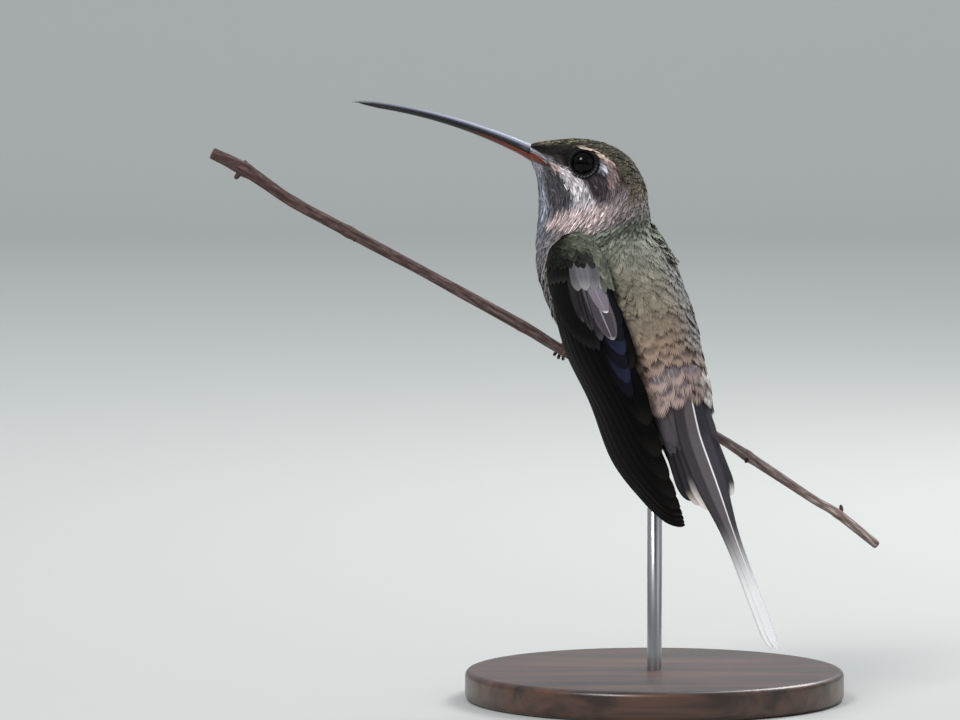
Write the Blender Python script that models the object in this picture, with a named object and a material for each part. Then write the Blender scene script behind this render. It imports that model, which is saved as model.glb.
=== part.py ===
"""A long-tailed hermit hummingbird perched on a cut twig, life size, on a plain display stand.

The bird is laid out in its own frame, in millimetres from the middle of its neck: forward, to its
left, and up. That frame is then turned into the world, with one heading for the trunk and another
for the head, which looks over the left shoulder. World units are metres, +Z is up, and the origin
is the middle of the underside of the stand's base.
"""

from math import cos, pi, radians, sin

import bmesh
import bpy
import numpy as np

MM = 0.001
GAP = 0.3  # clearance between touching pieces
SHARP_ANGLE = radians(40.0)  # edges folded more than this are shaded as corners

# Pose: headings are turned away from -X, towards +Y.
NECK_PIVOT = (-11.8, -8.0, 99.5)
TRUNK_HEADING = radians(62.0)
TRUNK_LEAN = radians(8.6)  # the left side is the lower one
HEAD_HEADING = 0.0

# Body: rings across it, from the bill to the rump. Forward and up are the ring's middle, pitch is
# how steeply the body rises there, back, belly and side are its half depths and half width, and
# turned is 1 where it goes with the head and 0 where it goes with the trunk.
BODY_SECTIONS = np.array(
    (
        # forward, up, pitch, back, belly, side, turned
        (13.3, 10.8, 8.0, 1.6, 1.5, 2.1, 1.0),
        (11.7, 10.4, 23.0, 2.6, 2.8, 3.4, 1.0),
        (9.6, 9.7, 34.0, 4.2, 4.5, 4.7, 1.0),
        (7.3, 8.5, 43.0, 6.6, 6.5, 5.6, 1.0),
        (4.8, 6.6, 51.0, 9.0, 8.8, 6.3, 1.0),
        (2.8, 3.9, 58.0, 10.9, 10.5, 7.1, 1.0),
        (1.4, 0.0, 65.0, 12.0, 11.8, 8.2, 0.85),
        (1.0, -4.8, 72.0, 12.5, 12.8, 9.8, 0.5),
        (0.8, -10.5, 68.0, 12.4, 14.9, 11.8, 0.15),
        (-3.0, -17.3, 57.0, 13.0, 15.0, 13.0, 0.0),
        (-9.7, -24.6, 50.0, 12.2, 14.6, 12.1, 0.0),
        (-16.0, -31.4, 50.0, 10.0, 11.6, 9.9, 0.0),
        (-20.4, -36.6, 54.0, 6.8, 8.0, 8.1, 0.0),
        (-23.2, -41.4, 60.0, 3.9, 5.2, 7.0, 0.0),
        (-25.2, -45.6, 63.0, 2.3, 3.2, 6.4, 0.0),
    )
)
RINGS_PER_SECTION = 3
RING_POINTS = 24
FLAT_SIDES = 12  # points round the section of a wing or a tail feather
HEAD_END = 5.9  # where the body is parted, counted in sections from the bill
NECK_END = 7.2
CUT = 0.07  # width of a thin cut, in sections

# Eyes
EYE_RADIUS = 2.6
EYE_PLACE = (2.7, 4.2, 8.5)  # forward, to the side, up

# Bill
BILL_BASE = (13.7, 10.85)  # forward, up
BILL_LENGTH = 36.4
BILL_BASE_RISE = radians(25.5)
BILL_TIP_RISE = radians(5.5)
BILL_BASE_DEPTH = 2.9
BILL_BASE_WIDTH = 3.2
BILL_TIP_DEPTH = 1.15
BILL_TIP_WIDTH = 1.0
BILL_POINT = 0.11  # the last share of its length, which runs to a point
BILL_LOWER_LENGTH = 35.0
BILL_SPLIT = 0.12  # the gape lies this share of the depth below the middle line
BILL_CUT = 0.16

# Wings, folded along the flanks: each section's front edge and rear edge, as forward, to the side
# and up, then its half thickness, and how far it bows outwards as a share of its width.
WING_SECTIONS = np.array(
    (
        (-2.4, 9.6, -4.4, -7.4, 8.4, -3.4, 0.8, 0.06),
        (1.1, 11.0, -7.2, -11.5, 7.6, -5.4, 1.0, 0.12),
        (0.2, 12.8, -11.4, -15.4, 7.4, -10.2, 1.1, 0.16),
        (-2.1, 14.0, -18.5, -19.6, 8.2, -17.5, 1.1, 0.17),
        (-4.8, 14.0, -27.4, -24.6, 8.9, -27.2, 0.9, 0.15),
        (-9.6, 12.8, -36.9, -26.8, 8.4, -38.5, 0.7, 0.11),
        (-12.6, 11.2, -48.6, -28.4, 7.5, -48.5, 0.5, 0.08),
        (-19.6, 9.2, -56.7, -29.8, 6.8, -56.2, 0.4, 0.06),
        (-24.9, 7.8, -60.6, -30.3, 6.5, -59.5, 0.35, 0.04),
        (-28.6, 6.8, -61.9, -30.6, 6.4, -61.0, 0.3, 0.0),
    )
)
# The right wing is folded tighter than the left, and hangs closer to the belly.
RIGHT_WING_FOLD = 0.8  # its width against the left one's
RIGHT_WING_REACH = 0.92  # its length against the left one's
RIGHT_WING_TUCK = 0.82  # held this much closer to the body's middle
RIGHT_WING_ROLL = radians(31.0)  # round the trunk
RIGHT_WING_DROOP = radians(4.0)  # at the shoulder
SHOULDER = (-3.0, 0.0, -8.0)
TRUNK_MIDDLE = (-3.0, 0.0, -17.3)
TRUNK_PITCH = radians(58.0)
WING_RINGS = 22

# Tail: side feathers in a fan, under a long middle pair
TAIL_TOP = (-27.35, -44.6)  # forward, up: where the middle pair comes out
TAIL_PITCH = radians(62.6)
STREAMER_LENGTH = 45.6
STREAMER_THICKNESS = 0.6
STREAMER_ROOT_HALF_WIDTH = 3.65
STREAMER_HALF_WIDTH = 1.35  # beyond the place where it narrows
STREAMER_NARROWS = 15.5
STREAMER_TIP = 5.0  # length of its rounded end
FAN_THICKNESS = 1.2
FAN_ROOT_THICKNESS = 3.0
FAN_ROOT = 6.0  # how far down it thins from the root's thickness
FAN_LENGTH = 14.9
SIDE_FEATHER_HALF_WIDTH = 2.2
SIDE_FEATHER_TIP = 4.5
LEFT_SIDE_FEATHERS = ((12.4, 4.6), (13.8, 3.3), (15.0, 1.9))  # how far down and out each tip lies
RIGHT_SIDE_FEATHERS = ((12.6, 2.8), (14.0, 2.0), (15.0, 1.2))

# Legs: each grips the twig this far along it from the rod
FOOT_ALONG = {"left": -18.4, "right": -8.0}
LEG_TOP = {"left": (3.0, 5.5, -27.0), "right": (-1.0, -3.5, -31.5)}
TARSUS_RADIUS = 0.5
TOE_RADIUS = 0.4
# Toes: how far each shifts along the twig, and the angle off the twig's top where it ends
TOE_START = -25.0
TOES = ((-1.0, 165.0), (0.0, 175.0), (1.0, 160.0), (0.2, -150.0))

# Twig: where its middle line passes, and its radius there
TWIG_POINTS = (
    # x, z, radius
    (-88.0, 110.0, 1.25),
    (-81.4, 106.4, 1.35),
    (-71.8, 99.6, 1.15),
    (-61.0, 94.2, 1.2),
    (-43.0, 84.4, 1.1),
    (-26.6, 75.2, 1.25),
    (-19.0, 70.6, 1.1),
    (0.0, 59.8, 1.05),
    (12.0, 53.0, 1.0),
    (18.6, 48.8, 1.05),
    (31.8, 40.0, 0.9),
    (36.8, 37.0, 1.0),
    (45.0, 30.4, 0.9),
)
TWIG_DEPTH_SLOPE = 0.12  # y gained for each x

# Stand
BASE_RADIUS = 38.0
BASE_HEIGHT = 6.0
BASE_ROUNDING = 1.2
ROD_RADIUS = 1.5
CLASP_LENGTH = 5.0
CLASP_WALL = 0.9
CLASP_BORE_SIDES = 12


# ---------------------------------------------------------------- tools


def clear_scene():
    for old in list(bpy.data.objects):
        bpy.data.objects.remove(old, do_unlink=True)


def finish(name, colour, roughness, metallic=0.0):
    """A Principled material."""
    material = bpy.data.materials.new(name)
    material.use_nodes = True
    shader = material.node_tree.nodes["Principled BSDF"]
    shader.inputs["Base Color"].default_value = (*colour, 1.0)
    shader.inputs["Roughness"].default_value = roughness
    shader.inputs["Metallic"].default_value = metallic
    return material


def add_object(name, data, material):
    made = bpy.data.objects.new(name, data)
    bpy.context.scene.collection.objects.link(made)
    data.materials.append(material)
    return made


def smooth(mesh):
    mesh.shade_smooth()
    mesh.set_sharp_from_angle(angle=SHARP_ANGLE)


def loft(name, rings, material):
    """A closed body through rings of points, shaped (rings, points, 3), with flat ends."""
    count, around = rings.shape[:2]
    shape = bmesh.new()
    verts = [[shape.verts.new(point) for point in ring] for ring in rings * MM]
    for near, far in zip(verts[:-1], verts[1:]):
        for here in range(around):
            after = (here + 1) % around
            shape.faces.new((near[here], near[after], far[after], far[here]))
    shape.faces.new(verts[0])
    shape.faces.new(verts[count - 1])
    bmesh.ops.recalc_face_normals(shape, faces=shape.faces)
    mesh = bpy.data.meshes.new(name)
    shape.to_mesh(mesh)
    shape.free()
    smooth(mesh)
    return add_object(name, mesh, material)


def tube(name, points, radii, material, sides=6):
    """A round bar along a line of points, with flat ends. Its rings turn as little as they can."""
    points = np.asarray(points, dtype=float)
    tangents = np.gradient(points, axis=0)
    tangents /= np.linalg.norm(tangents, axis=1, keepdims=True)
    angles = np.arange(sides) * 2.0 * pi / sides
    across = np.cross(tangents[0], (0.3, 1.0, 0.2))
    rings = []
    for point, tangent, radius in zip(points, tangents, radii):
        across = across - tangent * (across @ tangent)
        across /= np.linalg.norm(across)
        over = np.cross(tangent, across)
        circle = np.outer(np.cos(angles), across) + np.outer(np.sin(angles), over)
        rings.append(point + radius * circle)
    return loft(name, np.array(rings), material)


def hide_tool(tool):
    tool.hide_render = True
    tool.display_type = "WIRE"


def combine(target, tool, operation):
    """Cut the tool from the target, or join it on."""
    hide_tool(tool)
    step = target.modifiers.new(tool.name, "BOOLEAN")
    step.operation = operation
    step.object = tool


def between(rows, place):
    """The row at a fractional row number, on a smooth curve through all the rows."""
    last = len(rows) - 1
    start = min(int(place), last - 1)
    part = place - start
    before, here, after, beyond = (rows[min(max(start + step, 0), last)] for step in (-1, 0, 1, 2))
    return 0.5 * (
        2.0 * here
        + (after - before) * part
        + (2.0 * before - 5.0 * here + 4.0 * after - beyond) * part**2
        + (3.0 * here - before - 3.0 * after + beyond) * part**3
    )


# ---------------------------------------------------------------- the bird's own frame


def to_world(points, turned=0.0):
    """Points of the bird's frame, in world millimetres, turned with the trunk (0) or the head (1)."""
    heading = TRUNK_HEADING + (HEAD_HEADING - TRUNK_HEADING) * turned
    lean = TRUNK_LEAN * (1.0 - turned)
    forward = np.array((-cos(heading), sin(heading), 0.0))
    level_left = np.array((-sin(heading), -cos(heading), 0.0))
    left = cos(lean) * level_left - np.array((0.0, 0.0, sin(lean)))
    up = sin(lean) * level_left + np.array((0.0, 0.0, cos(lean)))
    return np.asarray(points) @ np.array((forward, left, up)) + np.array(NECK_PIVOT)


def body_ring(place):
    """The ring of points round the body at a section number."""
    forward, up, pitch, back, belly, side, turned = between(BODY_SECTIONS, place)
    rise = radians(pitch)
    angles = np.arange(RING_POINTS) * 2.0 * pi / RING_POINTS
    out = np.cos(angles)
    out *= np.where(out > 0.0, back, belly)
    ring = np.stack(
        (forward - out * sin(rise), side * np.sin(angles), up + out * cos(rise)), axis=1
    )
    return to_world(ring, turned)


def body_length(name, start, end, material):
    count = int(round((end - start) * RINGS_PER_SECTION)) + 1
    rings = np.array([body_ring(place) for place in np.linspace(start, end, count)])
    return loft(name, rings, material)


# ---------------------------------------------------------------- head


def eye_centre(side):
    forward, out, up = EYE_PLACE
    return to_world((forward, side * out, up), 1.0)


def ball(name, centre, radius, material):
    shape = bmesh.new()
    bmesh.ops.create_uvsphere(shape, u_segments=16, v_segments=10, radius=radius * MM)
    mesh = bpy.data.meshes.new(name)
    shape.to_mesh(mesh)
    shape.free()
    smooth(mesh)
    made = add_object(name, mesh, material)
    made.location = centre * MM
    return made


def bill_section(along):
    """The bill's middle line, its rise, depth and width, at a share of its length."""
    steps = np.linspace(0.0, along, 40)
    rises = BILL_BASE_RISE + (BILL_TIP_RISE - BILL_BASE_RISE) * steps
    forward = BILL_BASE[0] + BILL_LENGTH * along * np.cos(rises).mean()
    up = BILL_BASE[1] + BILL_LENGTH * along * np.sin(rises).mean()
    taper = 0.5 * (1.0 - along) + 0.5 * (1.0 - along) ** 3
    tip = np.sqrt(np.clip((1.0 - along) / BILL_POINT, 0.0, 1.0))
    depth = (BILL_TIP_DEPTH + (BILL_BASE_DEPTH - BILL_TIP_DEPTH) * taper) * tip
    width = (BILL_TIP_WIDTH + (BILL_BASE_WIDTH - BILL_TIP_WIDTH) * taper) * tip
    return forward, up, rises[-1], max(depth, GAP), max(width, GAP)


def mandible(name, upper, length, material):
    """Half of the bill: an arched section over, or under, the gape line."""
    rings = []
    for along in np.linspace(0.0, length / BILL_LENGTH, 19):
        forward, up, rise, depth, width = bill_section(along)
        split = -BILL_SPLIT * depth
        reach = 0.5 * depth - split if upper else 0.5 * depth + split
        sign = 1.0 if upper else -1.0
        angles = np.linspace(0.0, pi, 9)
        height = sign * (BILL_CUT * 0.5 + (reach - BILL_CUT * 0.5) * np.sin(angles))
        side = 0.5 * width * np.cos(angles)
        out = split + height
        rings.append(np.stack((forward - out * sin(rise), side, up + out * cos(rise)), axis=1))
    return loft(name, to_world(np.array(rings), 1.0), material)


def make_head(plumage, eye, horn, orange_horn):
    head = body_length("head", 0.0, HEAD_END, plumage)
    for name, side in (("left", 1.0), ("right", -1.0)):
        socket = ball(f"socket_{name}", eye_centre(side), EYE_RADIUS + GAP, plumage)
        combine(head, socket, "DIFFERENCE")
        ball(f"eye_{name}", eye_centre(side), EYE_RADIUS, eye)
    mandible("bill_upper", True, BILL_LENGTH, horn)
    mandible("bill_lower", False, BILL_LOWER_LENGTH, orange_horn)


# ---------------------------------------------------------------- wings


def swing(points, centre, axis, angle):
    """Points turned about an axis through a centre."""
    axis = np.array(axis)
    offset = points - np.array(centre)
    turned = (
        offset * cos(angle)
        + np.cross(axis, offset) * sin(angle)
        + axis * (offset @ axis)[..., None] * (1.0 - cos(angle))
    )
    return turned + np.array(centre)


def blunt_section(sides):
    """Across and over, round a flat section whose ends are squared off."""
    angles = np.arange(sides) * 2.0 * pi / sides
    across = np.sign(np.cos(angles)) * np.sqrt(np.abs(np.cos(angles)))
    over = np.sign(np.sin(angles)) * np.sqrt(np.abs(np.sin(angles)))
    return across, over


def blade(name, side, grow, material):
    """A folded wing as a bowed blade, or its cutter, larger by grow all round."""
    stretch = np.linspace(0.0, len(WING_SECTIONS) - 1.0, WING_RINGS)
    rows = np.array([between(WING_SECTIONS, place) for place in stretch])
    front, rear, half, bow = rows[:, 0:3], rows[:, 3:6], rows[:, 6] + grow, rows[:, 7:8]
    if side < 0.0:
        rear = front + (rear - front) * RIGHT_WING_FOLD
    across = rear - front
    width = np.linalg.norm(across, axis=1, keepdims=True)
    across /= width
    along = np.gradient(0.5 * (front + rear), axis=0)
    outward = np.cross(along, across)
    outward /= np.linalg.norm(outward, axis=1, keepdims=True)
    reach, lift = blunt_section(FLAT_SIDES)
    rings = (
        0.5 * (front + rear)[:, None, :]
        + across[:, None, :] * (0.5 * width + grow)[:, None, :] * reach[None, :, None]
        + outward[:, None, :] * half[:, None, None] * lift[None, :, None]
        + outward[:, None, :] * (bow * width)[:, None, :] * (1.0 - reach**2)[None, :, None]
    )
    tangent = along / np.linalg.norm(along, axis=1, keepdims=True)
    rings[0] -= tangent[0] * grow
    rings[-1] += tangent[-1] * grow
    if side < 0.0:
        folded = (RIGHT_WING_REACH, -RIGHT_WING_TUCK, RIGHT_WING_REACH)
        rings = np.array(SHOULDER) + (rings - np.array(SHOULDER)) * folded
        trunk_axis = (cos(TRUNK_PITCH), 0.0, sin(TRUNK_PITCH))
        rings = swing(rings, TRUNK_MIDDLE, trunk_axis, RIGHT_WING_ROLL)
        rings = swing(rings, SHOULDER, (0.0, 1.0, 0.0), -RIGHT_WING_DROOP)
    return loft(name, to_world(rings), material)


# ---------------------------------------------------------------- tail


def tail_points(down, out, height):
    """Points of the tail's frame: down from its root, out to the left, above its upper face."""
    forward = TAIL_TOP[0] - down * cos(TAIL_PITCH) - height * sin(TAIL_PITCH)
    up = TAIL_TOP[1] - down * sin(TAIL_PITCH) + height * cos(TAIL_PITCH)
    return to_world(np.stack(np.broadcast_arrays(forward, out, up), axis=-1))


def flat_ring(down, left_edge, right_edge, top, thickness):
    """A blunt-ended section across the tail, between two edges measured out from its middle."""
    across, over = blunt_section(FLAT_SIDES)
    out = 0.5 * (left_edge - right_edge) + 0.5 * (left_edge + right_edge) * across
    return tail_points(down, out, top - 0.5 * thickness * (1.0 - over))


def streamer_half_width(down):
    """The middle pair: broad under the coverts, then narrow, with a rounded tip."""
    wide = 1.0 / (1.0 + np.exp((down - STREAMER_NARROWS) / 3.2))
    width = STREAMER_HALF_WIDTH + (STREAMER_ROOT_HALF_WIDTH - STREAMER_HALF_WIDTH) * wide
    return width * np.sqrt(np.clip((STREAMER_LENGTH - down) / STREAMER_TIP, 0.02, 1.0))


def fan_edge(down, feathers):
    """The outline round the rounded ends of one side's feathers."""
    edges = []
    for length, out in feathers:
        if down <= length:
            rounding = np.clip((down - length + SIDE_FEATHER_TIP) / SIDE_FEATHER_TIP, 0.0, 1.0)
            edges.append(out + SIDE_FEATHER_HALF_WIDTH * np.sqrt(1.0 - rounding**2))
    return max(edges)


def make_tail(dark_vane, pale_vane):
    rings = []
    for down in np.append(np.linspace(GAP, 39.0, 13), np.linspace(41.0, STREAMER_LENGTH, 6)):
        half = streamer_half_width(down)
        rings.append(flat_ring(down, half, half, 0.0, STREAMER_THICKNESS))
    loft("tail_streamers", np.array(rings), pale_vane)
    rings = []
    top = -STREAMER_THICKNESS - GAP
    for down in np.append(np.linspace(GAP, 7.2, 5), np.linspace(8.0, FAN_LENGTH, 14)):
        swell = (FAN_ROOT_THICKNESS - FAN_THICKNESS) * np.exp(-((down / FAN_ROOT) ** 2))
        left, right = fan_edge(down, LEFT_SIDE_FEATHERS), fan_edge(down, RIGHT_SIDE_FEATHERS)
        rings.append(flat_ring(down, left, right, top, FAN_THICKNESS + swell))
    return loft("tail_fan", np.array(rings), dark_vane)


# ---------------------------------------------------------------- twig and legs


def twig_point(x, z):
    """A place on the twig's middle line; it recedes a little from left to right."""
    return np.array((x, TWIG_DEPTH_SLOPE * x, z))


def twig_at(x):
    """The twig's middle line, its direction and radius, where it crosses x."""
    for (x0, z0, r0), (x1, z1, r1) in zip(TWIG_POINTS[:-1], TWIG_POINTS[1:]):
        if x0 <= x <= x1:
            part = (x - x0) / (x1 - x0)
            near, far = twig_point(x0, z0), twig_point(x1, z1)
            direction = (far - near) / np.linalg.norm(far - near)
            return near + (far - near) * part, direction, r0 + (r1 - r0) * part
    raise ValueError(x)


def make_twig(bark):
    rows = np.array(TWIG_POINTS)
    stretch = np.linspace(0.0, len(rows) - 1.0, 37)
    line = np.array([between(rows, place) for place in stretch])
    points = [twig_point(x, z) for x, z, _ in line]
    return tube("perch_twig", points, line[:, 2], bark, sides=9)


def round_twig(side, angles, shifts=0.0):
    """Points round the twig where a foot holds it, at angles in degrees off the twig's top."""
    centre, direction, radius = twig_at(FOOT_ALONG[side])
    ahead = to_world((1.0, 0.0, 0.0)) - to_world((0.0, 0.0, 0.0))
    ahead -= direction * (ahead @ direction)
    ahead /= np.linalg.norm(ahead)
    above = np.cross(direction, ahead)
    turn = np.radians(angles)
    reach = radius + GAP + TOE_RADIUS
    circle = np.multiply.outer(np.cos(turn), above) + np.multiply.outer(np.sin(turn), ahead)
    return centre + np.multiply.outer(shifts, direction) + reach * circle


def toe(name, side, shift, end, material):
    """A toe curled round the twig, thinning to its claw."""
    angles = np.linspace(TOE_START, end, 9)
    points = round_twig(side, angles, shift * np.linspace(0.0, 1.0, 9))
    return tube(name, points, TOE_RADIUS * np.append(np.ones(7), (0.85, 0.6)), material)


def leg_path(side):
    """From inside the belly feathers down to the top of the twig."""
    return np.linspace(to_world(LEG_TOP[side]), round_twig(side, TOE_START), 3)


def make_leg(side, scale):
    leg = tube(f"leg_{side}", leg_path(side), [TARSUS_RADIUS] * 3, scale)
    for number, (shift, end) in enumerate(TOES):
        combine(leg, toe(f"toe_{side}_{number}", side, shift, end, scale), "UNION")
    return leg


# ---------------------------------------------------------------- stand


def cylinder(name, radius, bottom, top, material, segments=32):
    shape = bmesh.new()
    bmesh.ops.create_cone(
        shape,
        cap_ends=True,
        segments=segments,
        radius1=radius * MM,
        radius2=radius * MM,
        depth=(top - bottom) * MM,
    )
    mesh = bpy.data.meshes.new(name)
    shape.to_mesh(mesh)
    shape.free()
    smooth(mesh)
    made = add_object(name, mesh, material)
    made.location = (0.0, 0.0, 0.5 * (top + bottom) * MM)
    return made


def make_stand(wood, steel):
    base = cylinder("stand_base", BASE_RADIUS, 0.0, BASE_HEIGHT, wood, segments=56)
    edge = base.modifiers.new("rounding", "BEVEL")
    edge.width = BASE_ROUNDING * MM
    edge.segments = 2
    edge.limit_method = "ANGLE"
    centre, direction, radius = twig_at(0.0)
    collar_radius = radius + GAP + CLASP_WALL
    collar = tube(
        "stand_clasp",
        [centre - direction * 0.5 * CLASP_LENGTH, centre + direction * 0.5 * CLASP_LENGTH],
        [collar_radius] * 2,
        steel,
        sides=16,
    )
    bore_radius = (radius + GAP) / cos(pi / CLASP_BORE_SIDES)  # so that its flats clear the twig
    bore = tube(
        "clasp_bore",
        [centre - direction * CLASP_LENGTH, centre + direction * CLASP_LENGTH],
        [bore_radius] * 2,
        steel,
        sides=CLASP_BORE_SIDES,
    )
    combine(collar, bore, "DIFFERENCE")
    rod_top = centre[2] - collar_radius / abs(cos(np.arcsin(direction[2]))) - GAP - ROD_RADIUS
    cylinder("stand_rod", ROD_RADIUS, BASE_HEIGHT + GAP, rod_top, steel, segments=20)


# ---------------------------------------------------------------- the whole model


def build():
    clear_scene()
    head_plumage = finish("crown_feathers", (0.10, 0.085, 0.07), 0.8)
    neck_plumage = finish("neck_feathers", (0.30, 0.25, 0.23), 0.85)
    trunk_plumage = finish("back_feathers", (0.17, 0.16, 0.11), 0.8)
    dark_vane = finish("wing_feathers", (0.012, 0.010, 0.013), 0.55)
    pale_vane = finish("streamer_feathers", (0.55, 0.53, 0.54), 0.6)
    eye = finish("eye", (0.006, 0.005, 0.005), 0.06)
    horn = finish("upper_bill", (0.03, 0.032, 0.04), 0.3)
    orange_horn = finish("lower_bill", (0.25, 0.06, 0.02), 0.4)
    scale = finish("leg_scales", (0.16, 0.11, 0.09), 0.6)
    bark = finish("bark", (0.13, 0.075, 0.06), 0.85)
    wood = finish("base_wood", (0.06, 0.035, 0.022), 0.4)
    steel = finish("rod_steel", (0.35, 0.34, 0.33), 0.35, 1.0)

    make_head(head_plumage, eye, horn, orange_horn)
    neck = body_length("neck", HEAD_END + CUT, NECK_END, neck_plumage)
    trunk = body_length("trunk", NECK_END + CUT, len(BODY_SECTIONS) - 1.0, trunk_plumage)
    fan = make_tail(dark_vane, pale_vane)
    for name, side in (("left", 1.0), ("right", -1.0)):
        blade(f"wing_{name}", side, 0.0, dark_vane)
        room = blade(f"room_for_wing_{name}", side, GAP, dark_vane)
        for body in (neck, trunk, fan):
            combine(body, room, "DIFFERENCE")
    make_twig(bark)
    for side in ("left", "right"):
        make_leg(side, scale)
        socket = tube(f"room_for_leg_{side}", leg_path(side), [TARSUS_RADIUS + GAP] * 3, scale)
        combine(trunk, socket, "DIFFERENCE")
    make_stand(wood, steel)


build()
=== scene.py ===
import math

import bpy
import numpy as np
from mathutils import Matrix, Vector


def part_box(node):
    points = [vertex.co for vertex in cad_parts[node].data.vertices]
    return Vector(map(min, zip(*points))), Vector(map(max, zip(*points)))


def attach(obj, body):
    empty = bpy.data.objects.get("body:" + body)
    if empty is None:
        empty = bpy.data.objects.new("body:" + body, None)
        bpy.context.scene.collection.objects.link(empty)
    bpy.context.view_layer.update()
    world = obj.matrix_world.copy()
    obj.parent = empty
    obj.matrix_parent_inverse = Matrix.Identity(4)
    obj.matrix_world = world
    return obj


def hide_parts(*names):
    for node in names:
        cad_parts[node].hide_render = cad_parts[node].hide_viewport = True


# A long-tailed hermit hummingbird on a cut twig, life size, on a museum stand. Shapes are worked
# out in millimetres as whole arrays and turned into metres when a mesh is made.

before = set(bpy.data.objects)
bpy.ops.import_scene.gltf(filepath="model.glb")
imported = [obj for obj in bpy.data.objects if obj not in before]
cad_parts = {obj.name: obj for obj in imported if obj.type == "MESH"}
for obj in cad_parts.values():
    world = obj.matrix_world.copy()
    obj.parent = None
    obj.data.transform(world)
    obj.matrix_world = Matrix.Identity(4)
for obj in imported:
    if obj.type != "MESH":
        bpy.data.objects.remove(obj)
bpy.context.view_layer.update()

# ------------------------------------------------------------------ studio
# A round sweep of pale card under and about the model, lit by a large soft lamp at the upper
# left and weaker ones at the right and behind, and seen through a long lens.


def linear(hex_colour):
    """The linear light of an sRGB colour written as #rrggbb."""
    share = np.array([int(hex_colour[at : at + 2], 16) for at in (1, 3, 5)]) / 255.0
    return np.where(share <= 0.04045, share / 12.92, ((share + 0.055) / 1.055) ** 2.4)


def opaque(hex_colour):
    """The same colour for a socket, which wants a fourth number."""
    return (*linear(hex_colour), 1.0)


def new_material(name, **sockets):
    """A material and its node tree. Its shader's sockets are given by name, with _ for a space."""
    material = bpy.data.materials.new(name)
    material.use_nodes = True
    shader = material.node_tree.nodes["Principled BSDF"]
    for socket, value in sockets.items():
        shader.inputs[socket.replace("_", " ")].default_value = value
    return material, material.node_tree


def grid_quads(rows, columns, closed=False):
    """Corner numbers of the quads of a grid of points, whose last column may join its first."""
    here = np.arange(columns if closed else columns - 1)
    after = (here + 1) % columns
    start = np.arange(rows - 1)[:, None] * columns
    corners = (start + here, start + after, start + columns + after, start + columns + here)
    return np.stack(corners, axis=-1).reshape(-1, 4)


def make_mesh(name, points, quads, material, maps=None, tint=None):
    """An object at the origin with these points, in millimetres, and quads.

    maps holds each UV map by name, with a pair of numbers for each point or for each quad's corner.
    """
    points = np.asarray(points, dtype=np.float32).reshape(-1, 3) * 0.001
    mesh = bpy.data.meshes.new(name)
    mesh.vertices.add(len(points))
    mesh.vertices.foreach_set("co", points.ravel())
    mesh.loops.add(quads.size)
    mesh.loops.foreach_set("vertex_index", quads.astype(np.int32).ravel())
    mesh.polygons.add(len(quads))
    mesh.polygons.foreach_set("loop_start", np.arange(len(quads), dtype=np.int32) * 4)
    mesh.update(calc_edges=True)
    for map_name, pairs in (maps or {}).items():
        pairs = np.asarray(pairs, dtype=np.float32).reshape(-1, 2)
        if len(pairs) == len(points):
            pairs = pairs[quads.ravel()]
        layer = mesh.uv_layers.new(name=map_name)
        layer.data.foreach_set("uv", pairs.ravel())
    if tint is not None:
        tint = np.asarray(tint, dtype=np.float32).reshape(-1, 3)
        rgba = np.concatenate((tint, np.ones((len(tint), 1), np.float32)), axis=1)
        layer = mesh.color_attributes.new(name="tint", type="FLOAT_COLOR", domain="POINT")
        layer.data.foreach_set("color", rgba.ravel())
    mesh.shade_smooth()
    mesh.materials.append(material)
    made = bpy.data.objects.new(name, mesh)
    bpy.context.scene.collection.objects.link(made)
    return made


def lathe(profile, columns):
    """Rings of points round the Z axis, from (radius, height) pairs."""
    angles = np.arange(columns) * 2.0 * math.pi / columns
    profile = np.array(profile)
    around = np.stack((np.cos(angles), np.sin(angles)), axis=-1)
    level = np.broadcast_to(profile[:, None, 1:2], (len(profile), columns, 1))
    return np.concatenate((profile[:, None, 0:1] * around[None], level), axis=-1)


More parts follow.
